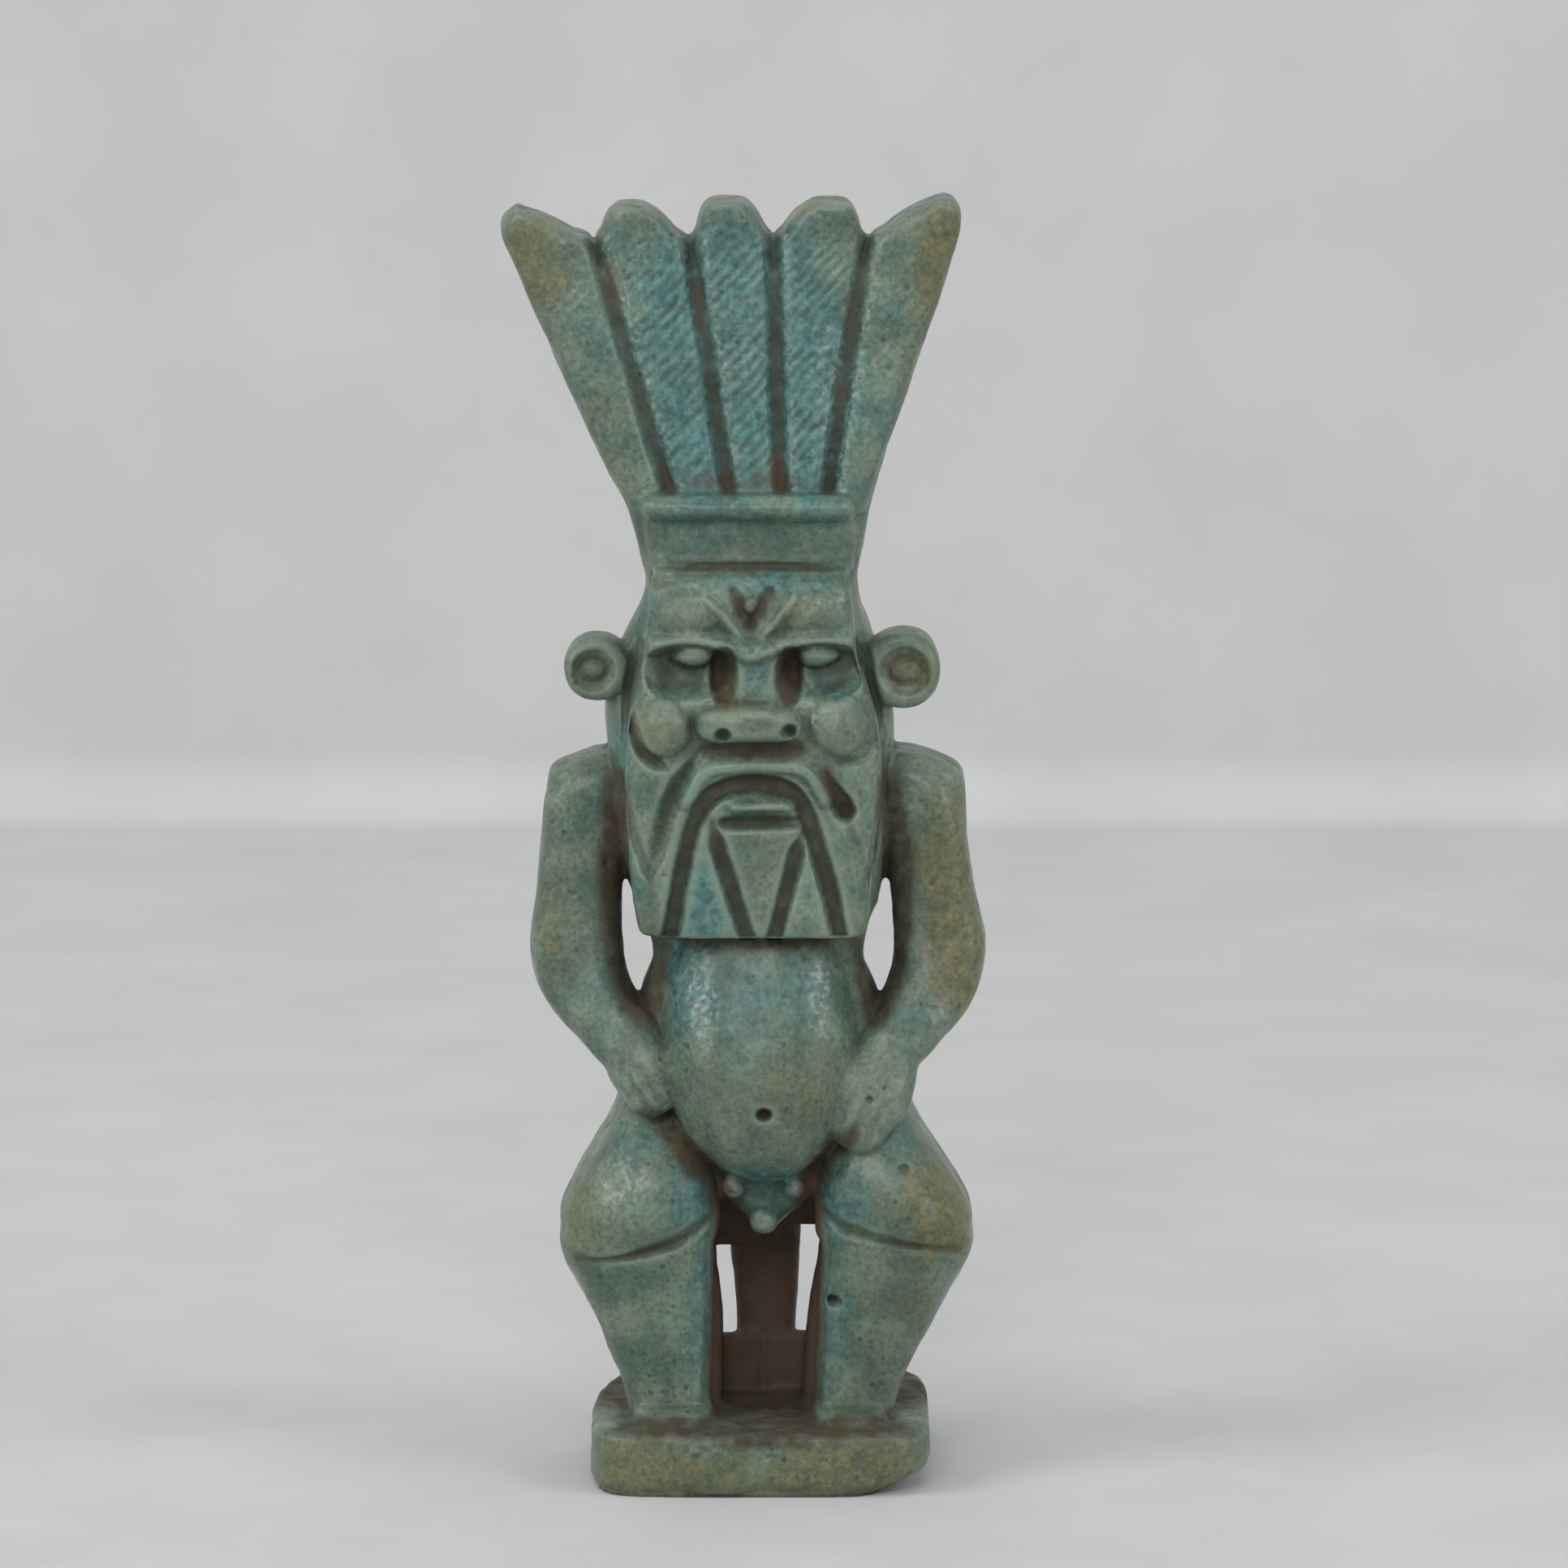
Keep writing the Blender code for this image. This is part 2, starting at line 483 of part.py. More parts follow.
def modified(mesh, kind, **settings):
    """The mesh as one modifier leaves it."""
    worker = bpy.data.objects.new(mesh.name, mesh)
    bpy.context.scene.collection.objects.link(worker)
    modifier = worker.modifiers.new(kind.title(), kind)
    for name, value in settings.items():
        setattr(modifier, name, value)
    bpy.context.view_layer.update()
    changed = bpy.data.meshes.new_from_object(worker.evaluated_get(bpy.context.evaluated_depsgraph_get()))
    changed.name = mesh.name
    bpy.data.objects.remove(worker)
    return changed


def pressed_together(mesh):
    """One skin around all the forms."""
    return modified(mesh, "REMESH", mode="VOXEL", voxel_size=VOXEL)


def softened(mesh, passes):
    """The skin with its edges and seams rubbed down."""
    return modified(mesh, "SMOOTH", factor=0.5, iterations=passes)


def moulded_figure():
    """The upright figure, pressed together, softened and carved."""
    clay = bmesh.new()
    mould_body(clay)
    mould_crown(clay)
    mould_tail(clay)
    mould_lug(clay)
    figure = softened(pressed_together(mesh_of(clay, "figure")), SOFTENING_PASSES)
    carve(figure)
    place_on_plinth(figure)
    return figure


def in_metres(clay, name):
    """A mesh of triangles from forms that are set out in squares."""
    bmesh.ops.scale(clay, vec=(SQUARE, SQUARE, SQUARE), verts=clay.verts[:])
    bmesh.ops.triangulate(clay, faces=clay.faces[:])
    return mesh_of(clay, name)


def carved_figure():
    """The figure without its plinth, in few triangles."""
    skin = moulded_figure()
    skin.calc_loop_triangles()
    skin = modified(skin, "DECIMATE", ratio=TRIANGLES / len(skin.loop_triangles), use_collapse_triangulate=True)
    clay = bmesh.new()
    clay.from_mesh(skin)
    return in_metres(clay, "figurine")


def helper(name, mesh):
    """A form that is joined to the figure or cut from it, and hidden from renders."""
    shape = bpy.data.objects.new(name, mesh)
    shape.hide_render = True
    shape.display_type = "WIRE"
    bpy.context.scene.collection.objects.link(shape)
    return shape


def plinth_form():
    """The plinth, as a helper that is joined to the figure."""
    clay = bmesh.new()
    mould_plinth(clay)
    return helper("plinth_form", in_metres(clay, "plinth_form"))


def cord_hole_cutter():
    """The drill for the lug's hole."""
    clay = bmesh.new()
    along_x = Matrix.Rotation(math.pi / 2, 4, "Y")
    radius = CORD_HOLE / 2
    bmesh.ops.create_cone(
        clay, cap_ends=True, segments=20, radius1=radius, radius2=radius, depth=3 * LUG_LENGTH, matrix=along_x
    )
    cutter = helper("cord_hole_cutter", mesh_of(clay, "cord_hole_cutter"))
    middle = lug_middle()
    middle.x += float(lean_at(middle.z))
    middle.z += PLINTH_TOP
    cutter.location = middle * SQUARE
    return cutter


def faience():
    """Pale green-blue faience under a thin worn glaze."""
    material = bpy.data.materials.new("faience")
    material.use_nodes = True
    shader = material.node_tree.nodes["Principled BSDF"]
    shader.inputs["Base Color"].default_value = FAIENCE
    shader.inputs["Roughness"].default_value = 0.5
    shader.inputs["Metallic"].default_value = 0.0
    return material


def build():
    """Clears the scene and puts the figurine in it."""
    for old in list(bpy.data.objects):
        bpy.data.objects.remove(old)
    figurine = bpy.data.objects.new("figurine", carved_figure())
    figurine.data.shade_smooth()
    figurine.data.set_sharp_from_angle(angle=CREASE)
    figurine.data.materials.append(faience())
    bpy.context.scene.collection.objects.link(figurine)
    for name, operation, form in (("Plinth", "UNION", plinth_form()), ("Cord hole", "DIFFERENCE", cord_hole_cutter())):
        joint = figurine.modifiers.new(name, "BOOLEAN")
        joint.operation = operation
        joint.solver = "EXACT"
        joint.object = form


build()
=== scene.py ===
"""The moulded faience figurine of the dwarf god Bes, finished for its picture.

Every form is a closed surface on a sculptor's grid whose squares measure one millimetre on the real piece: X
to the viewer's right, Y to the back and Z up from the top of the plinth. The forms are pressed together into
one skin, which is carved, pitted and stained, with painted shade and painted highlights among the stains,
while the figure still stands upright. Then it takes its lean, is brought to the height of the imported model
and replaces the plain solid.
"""

import itertools
import logging
import math
from dataclasses import dataclass
from enum import Enum

import bpy
import numpy as np
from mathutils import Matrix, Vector

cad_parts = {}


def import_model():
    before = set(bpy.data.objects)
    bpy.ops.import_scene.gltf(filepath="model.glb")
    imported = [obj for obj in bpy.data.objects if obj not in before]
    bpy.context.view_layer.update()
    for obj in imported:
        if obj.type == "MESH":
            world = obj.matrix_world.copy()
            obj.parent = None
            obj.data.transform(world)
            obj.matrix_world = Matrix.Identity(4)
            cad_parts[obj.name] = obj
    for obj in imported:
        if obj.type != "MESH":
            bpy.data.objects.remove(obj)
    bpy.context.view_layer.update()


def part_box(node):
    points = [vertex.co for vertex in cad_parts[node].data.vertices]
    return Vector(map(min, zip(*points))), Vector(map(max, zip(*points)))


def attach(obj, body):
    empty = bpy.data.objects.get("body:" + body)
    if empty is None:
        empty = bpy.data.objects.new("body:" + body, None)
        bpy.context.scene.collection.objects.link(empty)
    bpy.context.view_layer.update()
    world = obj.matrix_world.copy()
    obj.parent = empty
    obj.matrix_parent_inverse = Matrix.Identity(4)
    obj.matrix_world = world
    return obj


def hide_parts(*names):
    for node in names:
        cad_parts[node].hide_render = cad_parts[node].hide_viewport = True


Array = np.ndarray
Rows = tuple[tuple[float, ...], ...]
Line = tuple[tuple[float, float], ...]
Row = tuple[float, ...]
Colour = tuple[float, float, float, float]
View = tuple[Array, Array]
Stains = tuple[tuple["Tint", Rows], ...]
Mesh = bpy.types.Mesh
Tree = bpy.types.NodeTree
Socket = bpy.types.NodeSocket
Material = bpy.types.Material

log = logging.getLogger("figurine")

FIGURE_ROWS = 43.3
PLINTH_ROWS = 2.3
RING_POINTS = 64
ROWS_PER_SLICE = 6
DOME_ROWS = 6
DEPTH_AXIS = np.array((0.0, 1.0, 0.0))


class Side(Enum):
    """The viewer's left or right, as the sign of X."""

    LEFT = -1
    RIGHT = 1


class Tint(Enum):
    """What a patch adds to the glaze; the value is its place among the stain channels."""

    TURQUOISE = 0
    OCHRE = 1
    # Whitish bloom, also laid as painted highlights on the belly, beads, knob, cheek and edges
    BLOOM = 2
    # Dark earth, also laid as painted shade in creases, hollows and under overhangs
    SOIL_AND_SHADE = 3
    RUST = 4
    # Brown earth, also laid as painted shade between the legs and on the tail panel
    UMBER_AND_SHADE = 5


@dataclass(frozen=True)
class Form:
    """A closed surface that faces outwards.

    Attributes:
        points: One row of X, Y and Z for each point.
        triangles: One row of three point numbers for each face.
    """

    points: Array
    triangles: Array


@dataclass(frozen=True)
class Patch:
    """A stain, painted shade or painted highlight on the skin, full in its middle and gone at its radii.

    Attributes:
        tint: What the patch adds.
        x: X of its middle on the upright figure.
        z: Z of its middle.
        across: Its radius along X.
        tall: Its radius along Z.
        strength: How much it adds in its middle.
        front: How far forward its middle lies, along Y.
        depth: Its radius along Y.
    """

    tint: Tint
    x: float
    z: float
    across: float
    tall: float
    strength: float
    front: float = -4.5
    depth: float = 4.0


@dataclass(frozen=True)
class Seam:
    """A stain, painted shade or painted highlight along a line on the front.

    Attributes:
        tint: What the seam adds.
        line: The line's corners.
        width: How wide the stain is.
        strength: How much it adds along its middle.
        back: How far back it reaches, along Y.
    """

    tint: Tint
    line: Line
    width: float
    strength: float
    back: float = -2.2


class SubAssembly:
    """A part of the figurine: its forms, what is carved on it, and how it is stained, with painted shade and
    highlights.

    Attributes:
        stains: The values of its patches, in a patch's own order, by tint.
    """

    stains: Stains = ()

    def forms(self) -> list[Form]:
        """The closed forms."""
        return []

    def relief(self, at: View) -> Array:
        """The height of the carving over the front view."""
        return np.zeros(len(at[0]))

    def patches(self) -> list[Patch]:
        """The round stains."""
        return [Patch(tint, *row) for tint, rows in self.stains for row in rows]

    def seams(self) -> list[Seam]:
        """The stains along lines."""
        return []


# Surfaces


def smooth_rows(slices: Rows, steps: int = ROWS_PER_SLICE) -> Array:
    """Rows between the given slices: a Catmull-Rom cubic through every column of numbers.

    Args:
        slices: The rows that the curve goes through.
        steps: How many rows each stretch gets.

    Returns:
        The rows, as one array.
    """
    table = np.asarray(slices, float)
    padded = np.vstack([2 * table[0] - table[1], table, 2 * table[-1] - table[-2]])
    before, start, end, after = (padded[i : i + len(table) - 1, None, :] for i in range(4))
    t = (np.arange(steps) / steps)[None, :, None]
    bend = (2 * before - 5 * start + 4 * end - after) * t**2
    twist = (3 * start - before - 3 * end + after) * t**3
    rows = (2 * start + (end - before) * t + bend + twist) / 2
    return np.vstack([rows.reshape(-1, table.shape[1]), table[-1:]])


def unit_ring(power: float) -> tuple[Array, Array]:
    """Points around |u|^power + |v|^power = 1: a circle at 2, and squarer above it.

    Args:
        power: How square the ring is.

    Returns:
        The u and the v of each point.
    """
    angle = 2 * np.pi * np.arange(RING_POINTS) / RING_POINTS
    u = np.sign(np.cos(angle)) * np.abs(np.cos(angle)) ** (2 / power)
    v = np.sign(np.sin(angle)) * np.abs(np.sin(angle)) ** (2 / power)
    return u, v


def closed_skin(rings: Array) -> Form:
    """A surface through rings of points, closed at both ends by a fan to the middle of the end ring.

    Args:
        rings: The points, by ring and by place round the ring.

    Returns:
        The surface, turned so that the volume that it holds is positive.
    """
    count = rings.shape[1]
    grid = np.arange(rings.shape[0] * count).reshape(-1, count)
    onward = np.roll(grid, -1, axis=1)
    lower, upper, lower_next, upper_next = grid[:-1], grid[1:], onward[:-1], onward[1:]
    first_pole, last_pole = np.full(count, grid.size), np.full(count, grid.size + 1)
    parts = (
        (lower, lower_next, upper_next),
        (lower, upper_next, upper),
        (onward[0], grid[0], first_pole),
        (grid[-1], onward[-1], last_pole),
    )
    triangles = np.concatenate([np.stack(part, axis=-1).reshape(-1, 3) for part in parts])
    points = np.concatenate([rings.reshape(-1, 3), rings[[0, -1]].mean(axis=1)])
    if np.linalg.det(points[triangles]).sum() < 0:
        triangles = triangles[:, ::-1]
    return Form(points, triangles)


def stack(slices: Rows, power: float = 2.4) -> Form:
    """A form of level rings: each is the unit ring stretched to a left, right, front and back edge.

    Args:
        slices: Rows of height, left, right, front and back.
        power: How square the rings are.

    Returns:
        The closed form.
    """
    z, left, right, front, back = (column[:, None] for column in smooth_rows(slices).T)
    u, v = unit_ring(power)
    x = (left + right) / 2 + u * (right - left) / 2
    y = (front + back) / 2 + v * (back - front) / 2
    return closed_skin(np.stack([x, y, z + 0 * x], axis=-1))


def limb(stations: Rows, power: float = 2.6) -> Form:
    """A round-ended form along a path: the unit ring, stretched across and in depth, square to the path.

    Past each end the ring shrinks by the cosine of a turn and moves out by its sine, which closes a dome.

    Args:
        stations: Rows of X, Y, Z, half width and half depth.
        power: How square the rings are.

    Returns:
        The closed form.
    """
    rows = smooth_rows(stations)
    ends = np.clip(np.arange(-1, len(rows) + 1), 0, len(rows) - 1)
    tangents = rows[ends[2:], :3] - rows[ends[:-2], :3]
    tangents /= np.linalg.norm(tangents, axis=1, keepdims=True)
    turns = np.pi / 2 * np.arange(1, DOME_ROWS + 1) / (DOME_ROWS + 1)
    turn = np.concatenate([-turns[::-1], np.zeros(len(rows)), turns])
    at = np.concatenate([np.zeros(DOME_ROWS, int), np.arange(len(rows)), np.full(DOME_ROWS, len(rows) - 1)])
    tangent, row = tangents[at], rows[at]
    across = np.cross(tangent, DEPTH_AXIS)
    across /= np.linalg.norm(across, axis=1, keepdims=True)
    deep = np.cross(across, tangent)
    middle = row[:, :3] + tangent * (np.sin(turn) * row[:, 3:].min(axis=1))[:, None]
    half = row[:, 3:] * np.cos(turn)[:, None]
    u, v = (part[None, :, None] for part in unit_ring(power))
    sideways = across[:, None] * u * half[:, None, :1]
    return closed_skin(middle[:, None] + sideways + deep[:, None] * v * half[:, None, 1:])


def turned(middle: tuple[float, float, float], along: int, profile: Rows, power: float = 2.2) -> Form:
    """A form turned about an axis: the unit ring at each place along the axis, at that place's radius.

    Args:
        middle: The point that the profile is measured from.
        along: The number of the axis.
        profile: Rows of place along the axis and radius.
        power: How square the rings are.

    Returns:
        The closed form.
    """
    place, radius = (column[:, None] for column in np.asarray(profile, float).T)
    u, v = unit_ring(power)
    columns = [u * radius, v * radius]
    columns.insert(along, place + 0 * u)
    return closed_skin(np.stack(columns, axis=-1) + np.asarray(middle))


def ball(middle: tuple[float, float, float], radius: float) -> Form:
    """A ball, as a half circle turned about Y.

    Args:
        middle: Its middle.
        radius: Its radius.

    Returns:
        The closed form.
    """
    turns = np.pi * np.arange(1, 16) / 16
    profile = np.stack([-radius * np.cos(turns), radius * np.sin(turns)], axis=1)
    return turned(middle, 1, tuple(map(tuple, profile)), power=2.0)


def even(slices: Rows) -> Rows:
    """Slices of height, half width, front and back, made the same to left and right."""
    return tuple((z, -half, half, front, back) for z, half, front, back in slices)


# Relief, as heights over the upright front view


def from_line(at: View, points: Line) -> tuple[Array, Array]:
    """How far each place is from a line of straight stretches, and how far along it the nearest point is.

    Args:
        at: X and Z of the places.
        points: The line's corners.

    Returns:
        The distance to the nearest stretch, and the share of the line's stretches passed by then.
    """
    x, z = at
    distance, passed = np.full(len(x), np.inf), np.zeros(len(x))
    for i, ((x0, z0), (x1, z1)) in enumerate(zip(points, points[1:])):
        along_x, along_z = x1 - x0, z1 - z0
        length = max(along_x**2 + along_z**2, 1e-9)
        share = np.clip(((x - x0) * along_x + (z - z0) * along_z) / length, 0, 1)
        there = np.hypot(x - x0 - share * along_x, z - z0 - share * along_z)
        passed = np.where(there < distance, (i + share) / (len(points) - 1), passed)
        distance = np.minimum(distance, there)
    return distance, passed


def curved(points: Line, steps: int = 5) -> Line:
    """The line with its corners rounded, on a Catmull-Rom curve."""
    return tuple(map(tuple, smooth_rows(points, steps)))


def eased(value: Array) -> Array:
    """A smooth step from 0 to 1: three times the square less twice the cube, between those ends."""
    value = np.clip(value, 0, 1)
    return value * value * (3 - 2 * value)


def stroke(
    at: View, points: Line, width: float, height: float, shoulder: float = 1.6, taper: Row = (0.0, 0.0)
) -> Array:
    """A band along a line, with round shoulders: full height on the line and nothing past half the width.

    Args:
        at: X and Z of the places.
        points: The line's corners.
        width: The band's whole width.
        height: Its height, below 0 for a groove.
        shoulder: How steep its shoulders are.
        taper: The shares of the line over which it thins out at its start and its end.

    Returns:
        The height at each place.
    """
    distance, passed = from_line(at, points)
    full = np.ones(len(distance))
    for share, run in zip((passed, 1 - passed), taper):
        if run:
            full = full * (0.25 + 0.75 * eased(share / run))
    return height * full * eased(shoulder * (1 - distance / (width / 2 * full)))


def dome(
    at: View, middle: tuple[float, float], radii: tuple[float, float], height: float, power: float = 2.0
) -> Array:
    """A mound or hollow: its height times (1 - |u|^power - |v|^power)^0.75, with u and v in radii.

    Args:
        at: X and Z of the places.
        middle: Its middle.
        radii: Its radii along X and Z.
        height: Its height, below 0 for a hollow.
        power: How square its outline is.

    Returns:
        The height at each place.
    """
    reach = sum(np.abs((place - own) / radius) ** power for place, own, radius in zip(at, middle, radii))
    return height * np.clip(1 - reach, 0, 1) ** 0.75


def lattice_noise(points: Array, pitch: float, seed: int) -> Array:
    """Smooth noise from -1 to 1: random values on a cubic lattice, blended by eased weights.

    Args:
        points: Where the noise is read.
        pitch: The lattice's spacing.
        seed: Which noise it is.

    Returns:
        The value at each point.
    """
    values = np.random.default_rng(seed).uniform(-1, 1, 8192)
    cell = np.floor(points / pitch).astype(np.int64)
    ease = eased(points / pitch - cell)
    total = np.zeros(len(points))
    for corner in itertools.product((0, 1), repeat=3):
        weight = np.prod(np.where(corner, ease, 1 - ease), axis=1)
        total += values[scrambled(cell + corner, seed) % 8192] * weight
    return total


def layered_noise(points: Array, layers: Rows) -> Array:
    """The sum of noises, from rows of height, pitch and seed."""
    return sum(height * lattice_noise(points, pitch, seed) for height, pitch, seed in layers)


def scrambled(cell: Array, seed: int) -> Array:
    """A number for each lattice cell: its three places times large primes, mixed by exclusive or."""
    mixed = cell[:, 0] * 73856093 ^ cell[:, 1] * 19349663 ^ cell[:, 2] * 83492791 ^ (seed * 2654435761)
    return (mixed ^ (mixed >> 13)) & 0x7FFFFFFF


def scattered(points: Array, pitch: float, radius: float, share: float, seed: int) -> Array:
    """Round spots on the skin: one in some cells of a lattice, at a random place and of a random size.

    Args:
        points: Where the spots are read.
        pitch: The lattice's spacing.
        radius: The largest spot's radius.
        share: The share of the cells that hold a spot.
        seed: Which scatter it is.

    Returns:
        1 in the middle of a spot, falling as a round bowl to 0 at its edge.
    """
    draws = np.random.default_rng(seed).uniform(0, 1, (8192, 5))
    cell = np.floor(points / pitch).astype(np.int64)
    deepest = np.zeros(len(points))
    for step in itertools.product((-1, 0, 1), repeat=3):
        near = cell + step
        draw = draws[scrambled(near, seed) % 8192]
        distance = np.linalg.norm(points - (near + draw[:, :3]) * pitch, axis=1)
        size = radius * (0.35 + 0.65 * draw[:, 3])
        bowl = np.clip(1 - (distance / size) ** 2, 0, 1)
        deepest = np.maximum(deepest, np.where(draw[:, 4] < share, bowl, 0))
    return deepest


# Meshes


def mesh_of(forms: list[Form], name: str) -> Mesh:
    """A mesh that holds all the forms.

    Args:
        forms: The closed forms.
        name: The mesh's name.

    Returns:
        The mesh.
    """
    starts = np.cumsum([0] + [len(form.points) for form in forms[:-1]])
    points = np.concatenate([form.points for form in forms])
    triangles = np.concatenate([form.triangles + start for form, start in zip(forms, starts)])
    mesh = bpy.data.meshes.new(name)
    mesh.vertices.add(len(points))
    mesh.vertices.foreach_set("co", points.astype(np.float32).ravel())
    mesh.loops.add(triangles.size)
    mesh.loops.foreach_set("vertex_index", triangles.astype(np.int32).ravel())
    mesh.polygons.add(len(triangles))
    mesh.polygons.foreach_set("loop_start", np.arange(0, triangles.size, 3, dtype=np.int32))
    mesh.update(calc_edges=True)
    return mesh


def put_in_scene(name: str, data: bpy.types.ID) -> bpy.types.Object:
    """A new object in the scene that holds the data.

    Args:
        name: The object's name.
        data: Its mesh, light or camera.

    Returns:
        The object.
    """
    made = bpy.data.objects.new(name, data)
    bpy.context.scene.collection.objects.link(made)
    return made


def modified(mesh: Mesh, kind: str, **settings: object) -> Mesh:
    """The mesh as one modifier leaves it.

    Args:
        mesh: The mesh to change.
        kind: The modifier's type.
        **settings: The modifier's settings.

    Returns:
        A new mesh.
    """
    worker = put_in_scene("worker", mesh)
    modifier = worker.modifiers.new(kind.title(), kind)
    for name, value in settings.items():
        setattr(modifier, name, value)
    bpy.context.view_layer.update()
    changed = bpy.data.meshes.new_from_object(worker.evaluated_get(bpy.context.evaluated_depsgraph_get()))
    bpy.data.objects.remove(worker)
    return changed


class Skin:
    """A mesh whose points are worked on as whole arrays."""

    def __init__(self, mesh: Mesh) -> None:
        """Reads the mesh's points, normals and edges.

        Args:
            mesh: The mesh to work on.
        """
        self.mesh = mesh
        ends = np.empty(2 * len(mesh.edges), np.int32)
        mesh.edges.foreach_get("vertices", ends)
        self.ends = ends.reshape(-1, 2)
        self.degree = np.bincount(self.ends.ravel(), minlength=len(mesh.vertices))[:, None]
        self.points = self.read(mesh.vertices, "co")
        self.normals = self.read(mesh.vertex_normals, "vector")

    def read(self, items: bpy.types.bpy_prop_collection, name: str) -> Array:
        """Rows of three numbers, one row for each item of the mesh.

        Args:
            items: The mesh's vertices or normals.
            name: The name of the value that is read.

        Returns:
            The rows, as one array.
        """
        numbers = np.empty(3 * len(items), np.float32)
        items.foreach_get(name, numbers)
        return numbers.reshape(-1, 3).astype(float)

    def write(self) -> None:
        """Puts the points back into the mesh and works out its normals again."""
        self.mesh.vertices.foreach_set("co", self.points.astype(np.float32).ravel())
        self.mesh.update()
        self.normals = self.read(self.mesh.vertex_normals, "vector")

    def averaged(self, values: Array, passes: int) -> Array:
        """The values after each was replaced, pass by pass, with the mean of its neighbours' and its own.

        Args:
            values: One row of numbers for each point.
            passes: How many times it is done.

        Returns:
            The averaged rows.
        """
        first, second = self.ends.T
        pairs = ((first, second), (second, first))
        for _ in range(passes):
            sums = [
                sum(np.bincount(here, column[there], len(column)) for here, there in pairs)
                for column in values.T
            ]
            values = (values + np.stack(sums, axis=1)) / (self.degree + 1)
        return values

    def hollowness(self, passes: int) -> Array:
        """How far the averaged skin lies outside this one: above 0 in hollows, below on ridges."""
        return ((self.averaged(self.points, passes) - self.points) * self.normals).sum(axis=1)

    def paint(self, name: str, channels: Array | list[Array]) -> None:
        """Keeps up to three values for each point as a colour attribute.

        Args:
            name: The attribute's name.
            channels: The values for red, green and blue.
        """
        colours = np.ones((len(self.points), 4), np.float32)
        for i, channel in enumerate(channels):
            colours[:, i] = channel
        layer = self.mesh.color_attributes.new(name, "FLOAT_COLOR", "POINT")
        layer.data.foreach_set("color", colours.ravel())


# Sub-assemblies


@dataclass(frozen=True)
class Plinth(SubAssembly):
    """The plinth under the feet, with soft edges and a worn corner and end."""

    side: float = 6.0
    front: float = -5.9
    back: float = 5.9
    top_edge: float = 0.3
    foot_edge: float = 0.45
    worn_height: float = 0.9
    worn_run: float = 1.7
    rubbed_corner: float = 0.2
    cornering: float = 5.0
    # Olive sides, a glazed front edge with a painted highlight, and earth with painted shade round the feet
    # and low on the front
    stains: Stains = (
        (Tint.OCHRE, ((-3.6, -1.4, 4.2, 2.0, 0.75, -5.6, 3.2), (3.4, -1.4, 4.4, 2.0, 0.8, -5.6, 3.2))),
        (Tint.SOIL_AND_SHADE, (
            (0.0, -2.2, 8.0, 0.6, 0.4, -5.6, 3.2), (-3.4, 0.0, 2.6, 0.5, 0.8, -5.1, 1.7),
            (3.4, 0.0, 2.6, 0.5, 0.8, -5.1, 1.7), (-5.3, -0.1, 1.3, 0.9, 1.0, 1.6, 3.6),
            (5.3, -0.1, 1.3, 0.9, 1.0, 1.6, 3.6), (0.1, 0.2, 2.4, 0.9, 1.0, -3.2, 3.4),
        )),
        (Tint.TURQUOISE, ((-1.7, -0.6, 2.0, 0.5, 0.8, -5.6, 1.2),)),
        (Tint.BLOOM, ((-1.7, -0.55, 1.8, 0.35, 0.35, -5.6, 1.2),)),
    )

    def forms(self) -> list[Form]:
        """The plinth's block: a squarish ring at each level, drawn in by a quarter circle at foot and top.

        Returns:
            The closed forms.
        """
        tall = PLINTH_ROWS
        low = np.linspace(0, self.foot_edge, 6)
        high = np.linspace(tall - self.top_edge, tall, 6)
        z = np.concatenate([low, [self.worn_height, 1.1, 1.5], high])[:, None]
        rounding = self.foot_edge * (1 - np.sqrt(1 - np.clip(1 - z / self.foot_edge, 0, 1) ** 2))
        rounding = rounding + self.top_edge * np.clip(1 - (tall - z) / self.top_edge, 0, 1) ** 2
        worn = self.worn_run * np.clip(1 - z / self.worn_height, 0, 1) ** 1.2
        u, v = unit_ring(self.cornering)
        squared_u = np.where(v < 0, np.sign(u) * np.abs(u) ** 0.7, u)
        squared_v = np.where(v < 0, np.sign(v) * np.abs(v) ** 0.7, v)
        rubbed = np.where(squared_u < 0, self.rubbed_corner * np.clip(squared_v, 0, 1) ** 2, 0)
        middle, depth = (self.front + self.back) / 2, (self.back - self.front) / 2
        x = squared_u * (self.side - rounding) * (1 - rubbed) - np.clip(squared_u, 0, 1) * worn
        y = middle + squared_v * (depth - rounding)
        return [closed_skin(np.stack([x, y, z - tall + 0 * x], axis=-1))]


